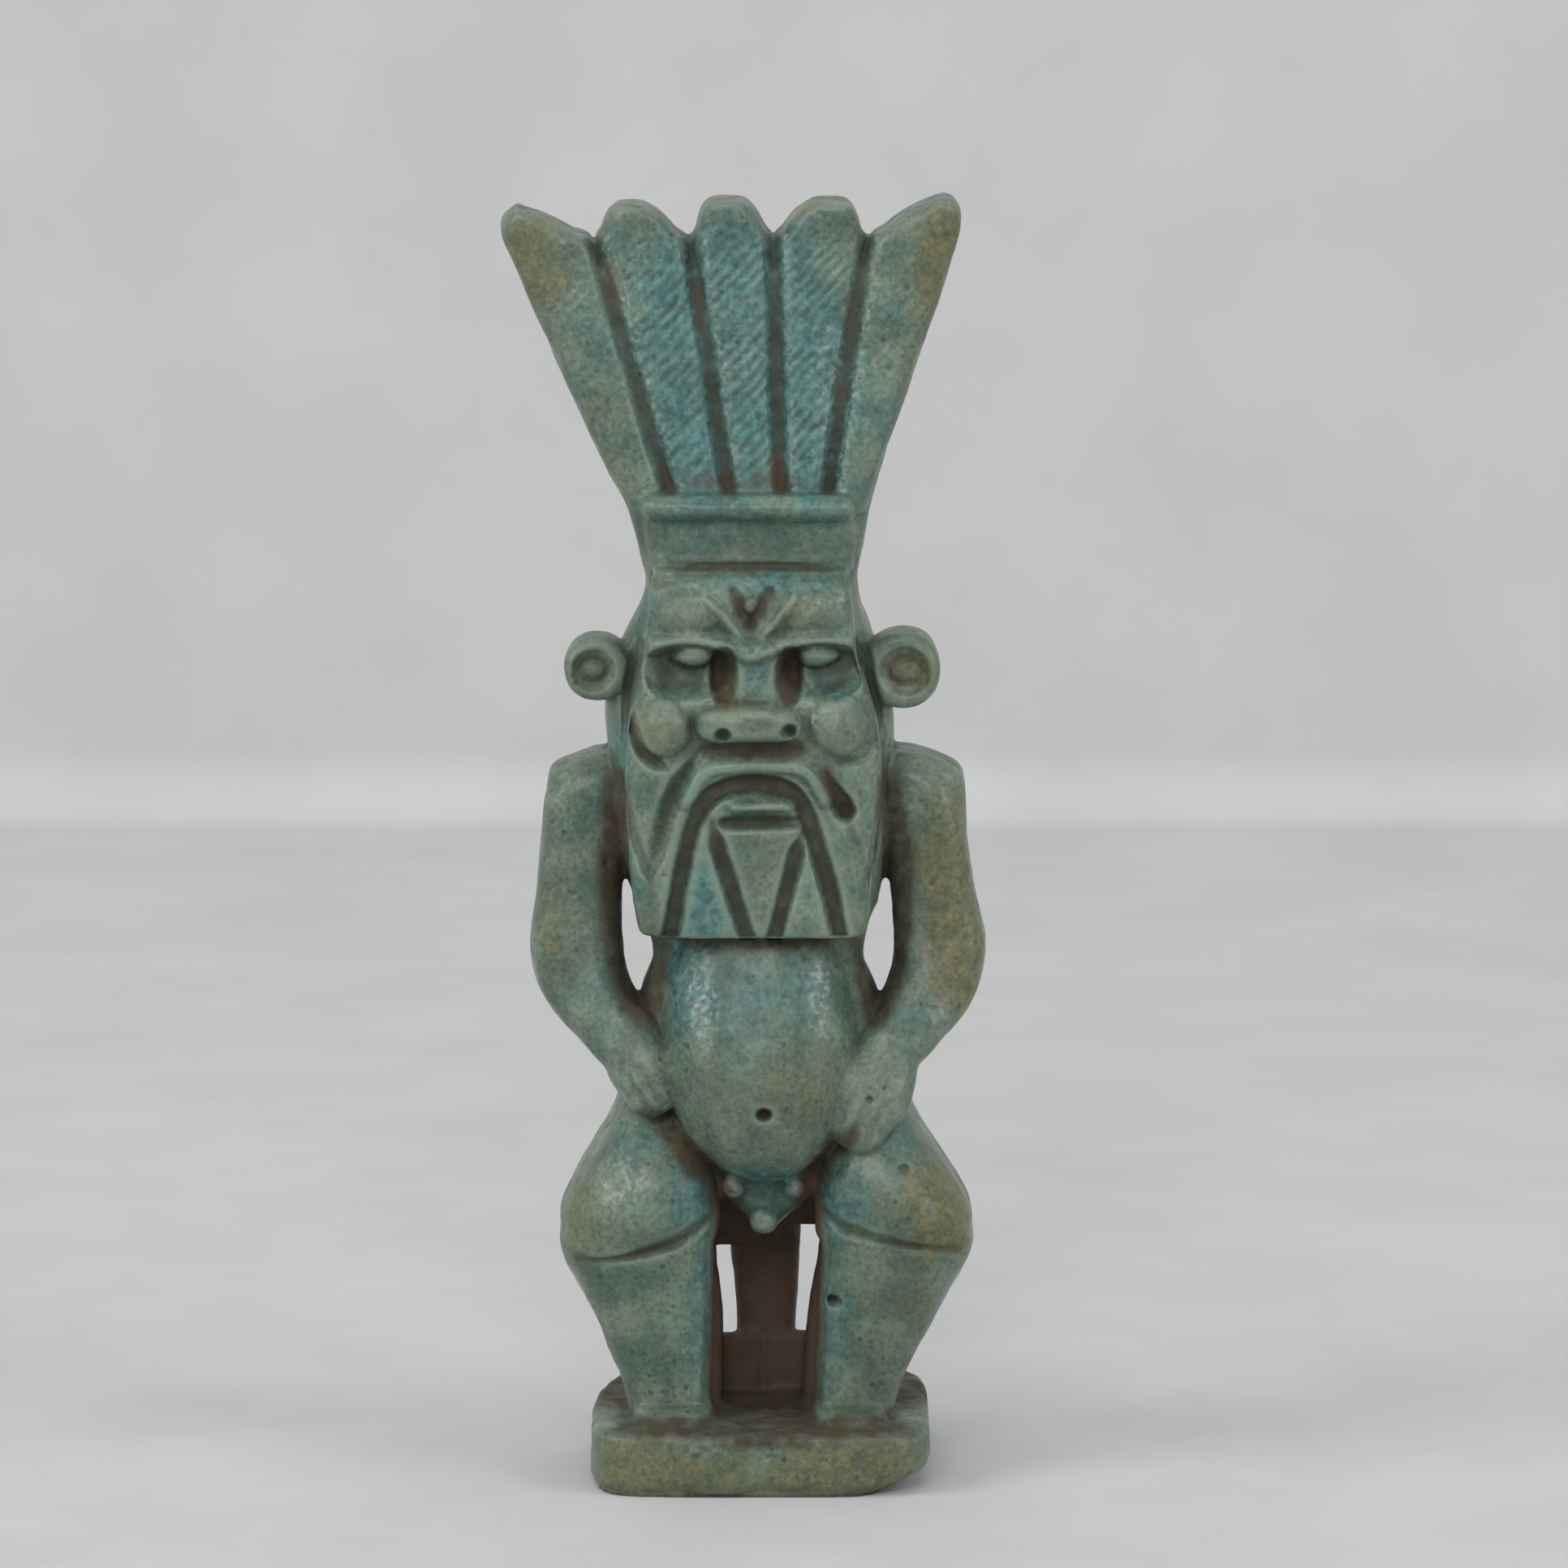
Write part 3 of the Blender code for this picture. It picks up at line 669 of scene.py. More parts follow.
@dataclass(frozen=True)
class Legs(SubAssembly):
    """Bowed legs of thigh, shin, calf and foot; inner edges are measured from the tail's middle."""

    tail_middle: float = 0.05
    thigh: Rows = (
        (5.9, 2.2, 6.4, -3.4, 1.0), (6.4, 1.75, 7.15, -4.4, 1.8), (7.3, 1.7, 7.3, -4.9, 2.1),
        (8.3, 1.7, 6.85, -4.9, 2.4), (9.4, 1.9, 6.15, -4.5, 2.6), (10.4, 2.4, 5.5, -3.9, 2.6),
        (11.3, 3.0, 5.15, -3.2, 2.3), (12.1, 3.4, 4.8, -2.4, 1.6),
    )
    shin: Rows = (
        (-0.3, 1.85, 4.7, -3.7, 1.4), (1.0, 1.85, 4.92, -3.7, 1.4), (2.4, 1.85, 5.52, -3.8, 1.4),
        (4.0, 1.87, 6.27, -4.0, 1.5), (5.6, 1.9, 7.12, -4.3, 1.6), (6.6, 1.9, 7.3, -4.4, 1.6),
        (7.6, 1.9, 6.8, -4.3, 1.6),
    )
    calf: Rows = (
        (-0.3, 1.4, 4.5, -1.6, 2.0), (2.4, 1.48, 5.0, -1.6, 1.9), (4.0, 1.66, 5.6, -1.6, 1.9),
        (5.6, 1.84, 6.4, -1.6, 2.0), (7.4, 1.84, 6.6, -1.6, 2.1),
    )
    foot: Rows = ((-0.3, 1.75, 4.5, -4.85, 0.0), (0.2, 1.75, 4.5, -4.85, 0.0), (0.5, 1.85, 4.4, -4.4, 0.0))
    left_crease: Line = ((-6.7, 5.95), (-5.3, 6.0), (-3.85, 6.4), (-2.7, 6.9), (-1.9, 7.5))
    right_crease: Line = ((6.8, 6.3), (5.1, 6.5), (3.5, 6.85), (2.6, 7.2), (1.9, 7.7))
    # Turquoise down the inner sides, a painted highlight on the left thigh, yellow at the right knee, and
    # painted shade with earth in the folds and down the inner shins
    stains: Stains = (
        (Tint.TURQUOISE, (
            (-2.5, 8.2, 1.3, 1.9, 0.65), (2.6, 8.3, 1.4, 1.9, 0.6), (-2.2, 3.6, 1.0, 3.8, 0.6),
            (2.3, 3.8, 1.0, 3.8, 0.6), (-4.6, 10.4, 1.2, 1.0, 0.5), (4.6, 10.2, 1.0, 1.2, 0.5),
        )),
        (Tint.BLOOM, ((-5.0, 8.8, 1.0, 1.1, 0.8), (3.7, 9.4, 0.7, 0.5, 0.35))),
        (Tint.OCHRE, (
            (6.4, 7.7, 1.7, 2.2, 1.0, -3.5), (5.0, 8.2, 1.6, 1.3, 0.4), (-6.6, 7.3, 1.2, 1.8, 0.55, -3.5),
            (5.4, 4.6, 0.9, 2.4, 0.4),
        )),
        (Tint.UMBER_AND_SHADE, (
            (-1.9, 3.6, 0.8, 5.0, 0.8, -0.8, 2.6), (2.0, 3.6, 0.8, 5.0, 0.8, -0.8, 2.6),
            (-5.2, 1.0, 1.0, 1.6, 0.55, 0.0, 3.0), (5.2, 1.0, 1.0, 1.6, 0.55, 0.0, 3.0),
        )),
        (Tint.SOIL_AND_SHADE, (
            (-4.0, 11.2, 0.8, 0.5, 0.6), (4.9, 9.25, 0.24, 0.2, 0.6), (3.6, 3.4, 2.2, 4.0, 0.2),
            (-2.4, 9.4, 0.75, 0.65, 0.9, -4.2, 2.6), (1.9, 9.0, 0.6, 0.6, 0.8, -4.2, 2.6),
        )),
        (Tint.RUST, ((-2.9, 10.0, 0.6, 0.45, 0.3, -4.2, 2.6), (2.4, 9.7, 0.6, 0.5, 0.15, -4.2, 2.6))),
    )

    def placed(self, slices: Rows, side: Side) -> Rows:
        """Slices of one leg, with its edges in order from left to right.

        Args:
            slices: Rows of height, inner edge, outer edge, front and back.
            side: Which leg.

        Returns:
            Rows of height, left, right, front and back.
        """
        s = side.value
        return tuple(
            (z, *sorted((self.tail_middle + s * inner, s * outer)), front, back)
            for z, inner, outer, front, back in slices
        )

    def forms(self) -> list[Form]:
        """Both legs."""
        powers = ((self.thigh, 2.6), (self.shin, 3.6), (self.calf, 3.6), (self.foot, 3.5))
        return [stack(self.placed(slices, side), power) for side in Side for slices, power in powers]

    def relief(self, at: View) -> Array:
        """The folds under the knees.

        Args:
            at: X and Z of the places.

        Returns:
            The height at each place.
        """
        total = -dome(at, (2.44, 4.35), (0.3, 0.24), 0.5) - dome(at, (4.9, 9.25), (0.24, 0.2), 0.16)
        for side, fold in ((Side.LEFT, self.left_crease), (Side.RIGHT, self.right_crease)):
            total -= stroke(at, curved(fold), 0.75, 0.3, 1.1, (0.6, 0.1))
            shin_edge = ((side.value * 2.15, 6.4), (side.value * 2.2, 0.8))
            total += stroke(at, shin_edge, 0.5, 0.1, 1.0)
        return total

    def seams(self) -> list[Seam]:
        """Painted shade with earth in the folds under the knees and down the inner walls of the shins."""
        made = [Seam(Tint.SOIL_AND_SHADE, curved(fold), 0.4, 0.6) for fold in (self.left_crease, self.right_crease)]
        return made + [
            Seam(Tint.UMBER_AND_SHADE, ((-1.4, 0.9), (-1.45, 8.2)), 0.95, 1.0, 2.0),
            Seam(Tint.UMBER_AND_SHADE, ((1.55, 0.9), (1.55, 8.4)), 0.95, 1.0, 2.0),
            Seam(Tint.SOIL_AND_SHADE, ((-5.0, 0.15), (5.0, 0.15)), 0.5, 0.5, 1.0),
            Seam(Tint.SOIL_AND_SHADE, ((-1.3, 0.0), (1.4, 0.0)), 1.3, 1.0, 2.0),
        ]


@dataclass(frozen=True)
class Tail(SubAssembly):
    """The tail of the lion skin, free of the calves at two slots that webs close below and above."""

    middle: float = 0.05
    rows: Rows = (
        (-0.3, -1.0, 1.1, 1.5, 4.6), (2.4, -1.0, 1.1, 1.5, 4.5), (5.7, -1.35, 1.2, 1.5, 4.5),
        (8.4, -1.2, 1.2, 1.3, 4.9), (11.0, -1.1, 1.1, 1.5, 4.6), (12.6, -0.7, 0.7, 1.8, 3.7),
    )
    web_depths: tuple[float, float] = (1.3, 2.15)
    web_reach: tuple[float, float] = (0.1, 2.5)
    slots: tuple[tuple[Side, float, float], ...] = ((Side.LEFT, 2.0, 5.3), (Side.RIGHT, 2.05, 6.0))
    # Dark earth with painted shade all over the panel between the legs, and paler glaze on its back
    stains: Stains = (
        (Tint.UMBER_AND_SHADE, ((0.05, 3.8, 2.6, 6.4, 1.0, 1.0, 3.2),)),
        (Tint.TURQUOISE, ((0.0, 9.0, 1.6, 3.6, 0.5, 4.6, 2.0),)),
    )

    def forms(self) -> list[Form]:
        """The tail and its four webs.

        Returns:
            The closed forms.
        """
        middle = self.middle
        rows = tuple((z, middle + left, middle + right, *depths) for z, left, right, *depths in self.rows)
        made = [stack(rows, 4.0)]
        for side, slot_foot, slot_head in self.slots:
            edges = sorted(self.middle + side.value * reach for reach in self.web_reach)
            for low, high in ((-0.3, slot_foot), (slot_head, 9.0)):
                made.append(stack(((low, *edges, *self.web_depths), (high, *edges, *self.web_depths)), 8.0))
        return made


@dataclass(frozen=True)
class Trunk(SubAssembly):
    """The trunk and its round belly, with three small beads below."""

    torso: Rows = (
        (7.6, 1.9, -2.0, 3.2), (9.2, 3.3, -3.0, 3.9), (11.0, 4.2, -3.8, 3.7), (13.0, 4.6, -4.2, 3.0),
        (15.0, 4.2, -4.0, 2.7), (16.2, 3.75, -3.8, 2.7), (17.3, 3.9, -3.6, 2.7), (18.4, 4.35, -3.4, 2.8),
        (20.5, 4.9, -3.0, 2.8), (22.6, 5.2, -2.6, 2.6), (24.0, 3.9, -2.0, 2.2),
    )
    belly: Rows = (
        (8.7, 0.9, -3.9, 0.0), (9.3, 1.9, -4.8, 0.0), (10.6, 2.9, -5.6, 0.0), (12.4, 3.4, -5.95, 0.0),
        (14.4, 3.4, -5.6, 0.0), (16.2, 3.1, -4.9, 0.0), (18.0, 2.5, -4.2, 0.0),
    )
    pad: Rows = (
        (6.6, 0.3, -2.6, 0.5), (7.0, 0.7, -2.8, 1.5), (7.7, 1.6, -2.95, 2.0), (8.4, 2.3, -3.1, 2.0),
        (9.6, 2.5, -3.5, 2.0),
    )
    beads: Rows = ((-1.15, -3.15, 8.38, 0.42), (1.0, -3.15, 8.38, 0.42), (-0.12, -2.95, 7.12, 0.52))
    # A pale bloom with painted highlights down both sides of the belly and on the beads, olive at its lower
    # right, and painted shade with earth in its creases
    stains: Stains = (
        (Tint.TURQUOISE, (
            (-2.6, 15.8, 1.3, 2.6, 0.75), (0.8, 16.2, 2.2, 1.6, 0.4), (0.3, 14.2, 2.6, 2.6, 0.4),
            (0.0, 8.3, 2.2, 1.4, 1.0),
        )),
        (Tint.SOIL_AND_SHADE, (
            (0.0, 13.2, 3.2, 4.0, 0.16), (0.0, 8.0, 2.2, 1.0, 0.4, -3.0),
            (-3.55, 17.0, 0.6, 2.6, 0.9, -3.6, 2.6), (3.6, 16.6, 0.5, 2.2, 0.6, -3.6, 2.6),
            (0.0, 17.35, 3.6, 0.35, 0.55, -4.6, 2.0), (0.05, 11.5, 0.35, 0.32, 0.9),
            (-1.6, 7.8, 0.6, 0.8, 0.8, -2.4, 2.0), (1.6, 7.8, 0.6, 0.8, 0.8, -2.4, 2.0),
        )),
        (Tint.BLOOM, (
            (-2.05, 15.4, 0.65, 2.3, 1.0), (-0.9, 13.8, 1.3, 1.0, 0.2), (2.15, 15.5, 0.5, 1.6, 0.9),
            (-1.15, 8.45, 0.35, 0.35, 0.7), (1.0, 8.45, 0.35, 0.35, 0.7), (-0.12, 7.25, 0.4, 0.4, 0.8),
        )),
        (Tint.OCHRE, ((1.2, 12.4, 2.0, 2.4, 0.5),)),
    )

    def forms(self) -> list[Form]:
        """The trunk, the belly, the pad below it and the beads."""
        made = [stack(even(self.torso), 2.6), stack(even(self.belly), 2.2), stack(even(self.pad), 2.6)]
        return made + [ball((x, y, z), radius) for x, y, z, radius in self.beads]

    def relief(self, at: View) -> Array:
        """The navel."""
        return -dome(at, (0.05, 11.5), (0.33, 0.3), 0.55)

    def seams(self) -> list[Seam]:
        """Painted shadow with rusty earth under the beard, and painted shade with earth where the belly meets
        the thighs.

        Returns:
            The stains along lines.
        """
        left_fold = ((-3.7, 11.0), (-2.8, 10.0), (-2.0, 9.1), (-1.7, 8.2))
        right_fold = ((3.1, 10.6), (2.3, 9.8), (1.7, 9.0), (1.5, 8.0))
        made = [Seam(Tint.SOIL_AND_SHADE, fold, 1.0, 0.85) for fold in (left_fold, right_fold)]
        made += [Seam(Tint.RUST, fold, 0.7, 0.12) for fold in (left_fold, right_fold)]
        return made + [
            Seam(Tint.SOIL_AND_SHADE, ((-3.6, 17.5), (3.6, 17.4)), 0.5, 0.7),
            Seam(Tint.RUST, ((-3.6, 17.45), (-1.9, 17.4)), 0.5, 0.5),
            Seam(Tint.RUST, ((2.4, 17.3), (3.6, 17.2)), 0.5, 0.4),
            Seam(Tint.SOIL_AND_SHADE, ((-3.9, 17.6), (-3.75, 16.0), (-3.7, 14.6)), 0.6, 0.7, 0.6),
        ]


@dataclass(frozen=True)
class Arms(SubAssembly):
    """Arms bent so that the hands lie on the belly; the stations are those of the right-hand side."""

    arm: Rows = (
        (4.6, 0.1, 22.3, 1.2, 1.6), (5.7, -0.1, 21.85, 1.52, 1.8), (6.05, -0.3, 20.4, 1.48, 1.75),
        (6.27, -0.5, 18.4, 1.5, 1.7), (6.42, -0.8, 16.5, 1.64, 1.75), (6.1, -1.25, 15.25, 1.5, 1.7),
        (5.2, -2.2, 14.0, 1.2, 1.5), (4.5, -2.9, 13.2, 1.1, 1.3),
    )
    left_hand: Rows = (
        (4.6, -2.8, 13.7, 1.1, 1.2), (4.25, -3.5, 12.7, 1.15, 1.05), (3.95, -3.8, 11.9, 0.9, 0.85),
    )
    right_hand: Rows = (
        (4.5, -2.9, 13.2, 1.15, 1.2), (3.85, -3.8, 11.9, 1.4, 1.1), (3.3, -4.1, 10.8, 1.1, 0.95),
    )
    left_shoulder: Rows = (
        (19.6, -7.45, -4.8, -1.5, 1.5), (21.6, -7.3, -4.5, -1.75, 1.7), (22.6, -7.2, -4.3, -1.7, 1.6),
        (23.0, -7.0, -4.2, -1.6, 1.5), (23.25, -6.5, -4.1, -1.4, 1.3), (23.6, -5.6, -4.0, -1.1, 1.0),
    )
    right_shoulder: Rows = (
        (19.6, 4.8, 7.5, -1.5, 1.5), (21.6, 4.5, 7.55, -1.75, 1.7), (22.6, 4.3, 7.52, -1.7, 1.6),
        (23.0, 4.2, 7.32, -1.6, 1.5), (23.3, 4.1, 6.8, -1.4, 1.3), (23.65, 4.0, 5.8, -1.1, 1.0),
    )
    left_inner_side: Line = ((-4.8, 22.8), (-5.0, 20.5), (-5.05, 17.5), (-4.7, 15.6), (-4.2, 14.6))
    right_inner_side: Line = ((4.85, 22.8), (5.0, 20.5), (5.05, 17.5), (4.7, 15.6), (4.1, 14.6))
    left_fingers: tuple[Line, ...] = (
        ((-4.35, 12.9), (-3.9, 12.2), (-3.45, 11.6)), ((-4.75, 12.6), (-4.3, 11.9), (-3.9, 11.3)),
    )
    right_fingers: tuple[Line, ...] = (
        ((3.2, 12.0), (2.75, 11.2), (2.5, 10.5)), ((3.75, 11.8), (3.3, 11.0), (3.0, 10.2)),
        ((4.3, 11.6), (3.9, 10.9), (3.55, 10.1)),
    )
    # Yellow on the outer right arm and elbow, painted highlights on the left shoulder and right elbow, and
    # painted shade with earth where the forearms meet the belly and down the inner arms
    stains: Stains = (
        (Tint.OCHRE, (
            (6.8, 18.6, 1.5, 5.0, 0.9, -0.8), (6.9, 16.0, 1.4, 2.2, 0.8, -1.6),
            (-7.2, 17.6, 0.8, 3.4, 0.55, -0.8), (4.2, 12.2, 1.2, 1.4, 0.4),
        )),
        (Tint.TURQUOISE, (
            (-5.9, 22.0, 1.3, 1.4, 0.25, -1.6), (-5.4, 15.2, 1.4, 1.6, 0.3, -2.6),
            (5.4, 14.4, 1.2, 1.2, 0.35, -2.6),
        )),
        (Tint.BLOOM, ((-5.6, 22.4, 0.6, 0.4, 0.35, -1.6), (6.3, 14.6, 0.5, 0.6, 0.6, -2.6))),
        (Tint.SOIL_AND_SHADE, (
            (-4.1, 15.3, 0.9, 1.6, 1.0, -2.6, 3.0), (4.0, 15.3, 0.7, 1.3, 0.9, -2.6, 3.0),
            (-4.8, 19.6, 0.65, 3.6, 0.85, -1.0, 2.6), (5.1, 19.0, 0.7, 3.9, 0.95, -1.0, 2.6),
        )),
        (Tint.RUST, ((-4.1, 15.0, 0.6, 1.0, 0.35, -2.6, 3.0), (-4.9, 19.9, 0.4, 2.0, 0.3, -1.6, 1.8))),
    )

    def forms(self) -> list[Form]:
        """Both arms and hands.

        Returns:
            The closed forms.
        """
        made = [stack(self.left_shoulder, 3.2), stack(self.right_shoulder, 3.2)]
        for side, hand in ((Side.LEFT, self.left_hand), (Side.RIGHT, self.right_hand)):
            for part, power in ((self.arm, 3.4), (hand, 2.8)):
                path = tuple((side.value * x, y, z, across, deep) for x, y, z, across, deep in part)
                made.append(limb(path, power))
        return made

    def relief(self, at: View) -> Array:
        """The faint lines between the fingers."""
        return -sum(stroke(at, line, 0.45, 0.1, 1.0) for line in self.left_fingers + self.right_fingers)

    def seams(self) -> list[Seam]:
        """Painted shade with earth down the inner sides of the upper arms."""
        return [
            Seam(Tint.SOIL_AND_SHADE, self.left_inner_side, 1.4, 0.85, 1.2),
            Seam(Tint.SOIL_AND_SHADE, self.right_inner_side, 1.2, 0.8, 1.2),
        ]


@dataclass(frozen=True)
class Head(SubAssembly):
    """The head: mane, square face with its beard, and round ears."""

    mane: Rows = (
        (18.2, 4.3, -3.2, 2.0), (20.4, 4.75, -3.4, 2.6), (22.6, 4.95, -3.4, 3.3), (25.0, 5.1, -3.3, 3.7),
        (26.6, 4.8, -3.2, 3.6), (28.0, 4.25, -3.1, 3.4), (29.2, 3.8, -3.0, 3.1), (30.2, 3.78, -2.9, 2.8),
        (31.0, 3.75, -2.6, 2.6),
    )
    face: Rows = (
        (17.7, -4.12, 3.85, -5.3, -2.0), (18.4, -4.25, 4.0, -5.3, -2.0), (20.4, -4.4, 4.25, -5.15, -2.0),
        (22.4, -4.45, 4.5, -5.0, -2.0), (24.0, -4.4, 4.6, -4.9, -2.0), (25.2, -4.25, 4.5, -4.85, -2.0),
        (26.4, -3.95, 4.2, -4.8, -2.0), (27.6, -3.65, 3.8, -4.7, -2.0), (29.0, -3.6, 3.6, -4.55, -2.0),
        (30.0, -3.5, 3.5, -4.2, -2.0), (30.5, -3.4, 3.4, -3.6, -2.0),
    )
    ears: Rows = ((-5.34, 26.74, 1.14), (5.42, 26.7, 1.36))
    ear_back: float = -0.2
    ear_front: float = -2.3
    eyes: tuple[tuple[Side, float], ...] = ((Side.LEFT, -1.95), (Side.RIGHT, 2.4))
    brows: Line = (
        (-3.5, 27.98), (-2.6, 28.12), (-1.7, 28.15), (-0.9, 28.05), (-0.3, 27.88), (0.1, 27.75),
        (0.6, 27.88), (1.3, 28.1), (2.2, 28.2), (3.0, 28.2), (3.6, 28.1),
    )
    lip_groove: Line = (
        (-3.05, 17.6), (-2.6, 19.75), (-2.1, 21.6), (-1.5, 22.65), (-0.45, 23.08), (0.95, 23.02),
        (1.75, 22.4), (2.25, 20.8), (2.63, 19.3), (2.93, 17.6),
    )
    tongue_lines: tuple[Line, ...] = (
        ((-1.42, 21.8), (-1.22, 20.8), (-0.8, 19.3), (-0.3, 17.6)),
        ((1.78, 21.5), (1.46, 20.5), (1.0, 19.0), (0.58, 17.6)),
    )
    left_beard_line: Line = (
        (-1.8, 24.3), (-2.3, 23.5), (-2.8, 22.6), (-3.2, 21.5), (-3.5, 20.4), (-3.66, 19.6),
    )
    right_beard_line: Line = ((2.67, 23.5), (3.25, 22.2), (3.76, 20.4), (4.0, 18.2))
    band_foot: Line = ((-3.4, 30.1), (-1.6, 30.5), (0.4, 30.55), (2.4, 30.4), (3.5, 30.1))
    moustache: Line = ((-2.3, 22.5), (-1.75, 23.4), (-0.9, 23.75), (1.4, 23.75), (2.1, 23.4), (2.6, 22.6))
    knot_grooves: tuple[Line, ...] = (((-0.64, 29.8), (-0.06, 28.75)), ((0.64, 29.8), (0.06, 28.75)))
    knot_ridges: tuple[Line, ...] = (
        ((-1.65, 29.8), (-1.15, 29.3), (-0.66, 28.7), (-0.15, 28.1)),
        ((1.5, 29.7), (1.15, 29.25), (0.76, 28.7), (0.25, 28.1)),
    )
    lappet_edges: tuple[Line, ...] = (
        ((-4.75, 23.6), (-4.35, 21.9), (-3.92, 20.5), (-3.66, 19.6)),
        ((4.75, 23.6), (4.55, 22.0), (4.2, 20.4), (3.85, 19.2)),
    )
    left_edge: Line = ((-3.75, 29.9), (-3.85, 28.4), (-4.05, 27.0), (-4.3, 25.6), (-4.5, 24.2))
    right_edge: Line = ((3.75, 29.9), (3.95, 28.4), (4.2, 27.0), (4.5, 25.6), (4.65, 24.2), (4.65, 22.0))
    # Turquoise on the bridge, below the eyes and on one lock; yellow cheeks and nose; earth with painted
    # shade in the ears, the eye hollows and under the nose; a pale bloom below the nose and a painted
    # highlight on the knob
    stains: Stains = (
        (Tint.TURQUOISE, (
            (0.3, 26.8, 0.75, 0.9, 0.5), (-2.5, 26.7, 1.4, 0.9, 0.65), (2.8, 26.7, 1.4, 0.9, 0.65),
            (-1.8, 18.9, 1.7, 3.0, 0.8), (1.6, 19.0, 0.8, 1.8, 0.3), (-4.6, 24.0, 0.7, 2.4, 0.6, -3.6),
            (-3.9, 20.0, 0.8, 1.8, 0.4), (-1.9, 23.2, 0.8, 0.9, 0.5), (0.3, 30.1, 3.4, 0.5, 0.6, -3.6),
            (-3.9, 29.2, 0.7, 1.6, 0.5, -3.4),
        )),
        (Tint.SOIL_AND_SHADE, (
            (-2.5, 26.7, 1.1, 0.55, 0.35), (2.7, 26.9, 1.0, 0.5, 0.3), (0.2, 24.4, 1.9, 0.45, 0.4),
            (0.0, 29.4, 0.5, 0.5, 0.5), (0.0, 29.0, 3.4, 0.9, 0.16), (-5.35, 26.75, 0.75, 0.7, 0.3, -2.0),
            (5.45, 26.65, 0.85, 0.85, 0.2, -2.0), (-0.88, 27.0, 0.6, 1.2, 1.0), (1.48, 27.0, 0.6, 1.2, 1.0),
        )),
        (Tint.OCHRE, (
            (-3.2, 25.2, 1.2, 1.2, 0.65), (3.3, 25.2, 1.1, 1.1, 0.4), (0.1, 25.5, 2.1, 0.9, 0.5),
            (-1.9, 29.2, 1.5, 0.9, 0.35), (1.9, 29.2, 1.5, 0.9, 0.35), (0.3, 20.6, 1.2, 2.4, 0.35),
            (-5.6, 26.3, 1.2, 1.4, 0.55, -2.0), (5.9, 26.8, 1.2, 1.4, 0.65, -2.0),
        )),
        (Tint.BLOOM, ((0.1, 24.5, 0.4, 0.25, 0.6), (-0.03, 29.42, 0.3, 0.3, 1.3))),
        (Tint.RUST, (
            (5.2, 26.9, 0.6, 0.6, 0.4, -2.0), (-0.88, 26.5, 0.4, 0.7, 0.55), (1.48, 26.5, 0.4, 0.7, 0.55),
        )),
    )

    def forms(self) -> list[Form]:
        """The mane, the face and both ears.

        Returns:
            The closed forms.
        """
        made = [stack(even(self.mane), 3.0), stack(self.face, 5.0)]
        back, front = self.ear_back, self.ear_front
        steps = ((back, 0.9), (back - 0.2, 1.0), (front + 0.35, 1.0), (front + 0.08, 0.93), (front, 0.8))
        for x, z, radius in self.ears:
            made.append(turned((x, 0.0, z), 1, tuple((y, share * radius) for y, share in steps)))
        return made

    def relief(self, at: View) -> Array:
        """Everything carved on the face and in the ears.

        Args:
            at: X and Z of the places.

        Returns:
            The height at each place.
        """
        x, z = at
        on_face = (np.abs(x) < 4.9) & (z > 17.5) & (z < 31.0)
        carved = self.brow_relief(at) + self.cheek_relief(at) + self.beard_relief(at)
        return np.where(on_face, carved, 0) + self.ear_relief(at)

    def brow_relief(self, at: View) -> Array:
        """Brows, eyes and the forehead with its knot.

        Args:
            at: X and Z of the places.

        Returns:
            The height at each place.
        """
        total = stroke(at, curved(self.brows), 0.9, 0.4, 1.1)
        total += dome(at, (-2.2, 29.1), (1.15, 0.78), 0.36)
        total += dome(at, (2.35, 29.1), (1.15, 0.72), 0.28)
        for side, eye in self.eyes:
            s = side.value
            total -= dome(at, (eye + s * 0.2, 27.1), (1.5, 1.05), 0.85, 2.6)
            total -= dome(at, (0.3 + s * 1.17, 26.95), (0.5, 1.1), 0.75, 2.4)
            total += dome(at, (eye, 27.6), (0.78, 0.42), 0.9)
            lid = curved(((eye - 0.75, 27.45), (eye, 27.18), (eye + 0.75, 27.45)))
            total -= stroke(at, lid, 0.28, 0.12)
        total += dome(at, (0.3, 26.9), (0.75, 1.35), 0.3, 4.0)
        for groove, ridge in zip(self.knot_grooves, self.knot_ridges):
            total -= stroke(at, groove, 0.7, 0.2, 1.1)
            total += stroke(at, curved(ridge), 0.6, 0.24, 1.1)
        total += dome(at, (-0.03, 29.42), (0.3, 0.3), 0.55)
        for edge in (self.left_edge, self.right_edge):
            total -= stroke(at, curved(edge), 0.55, 0.3, 1.2, (0.1, 0.3))
        for edge in self.lappet_edges:
            total -= stroke(at, curved(edge), 0.6, 0.26, 1.1, (0.3, 0.2))
        return total - stroke(at, curved(self.band_foot), 0.6, 0.1, 1.2)

    def cheek_relief(self, at: View) -> Array:
        """The bar of the nose with its nostrils, and the round cheeks.

        Args:
            at: X and Z of the places.

        Returns:
            The height at each place.
        """
        total = dome(at, (-0.02, 25.3), (1.85, 0.7), 1.0, 3.2)
        for middle, radii in (((-3.05, 25.15), (1.0, 1.05)), ((3.2, 25.25), (1.0, 1.12))):
            total += dome(at, middle, radii, 0.72)
        for middle in ((-0.92, 24.98), (1.4, 25.08)):
            total -= dome(at, middle, (0.32, 0.3), 0.7)
        total -= stroke(at, ((-1.5, 24.35), (1.7, 24.4)), 0.8, 0.2, 1.0)
        left_fold = ((-4.0, 26.0), (-4.05, 25.1), (-3.7, 24.2), (-2.9, 23.65))
        total -= stroke(at, curved(left_fold), 0.75, 0.34, 1.1, (0.4, 0.15))
        return total - stroke(at, curved(((4.4, 24.6), (3.95, 24.05), (3.1, 23.9))), 0.6, 0.16, 1.0)

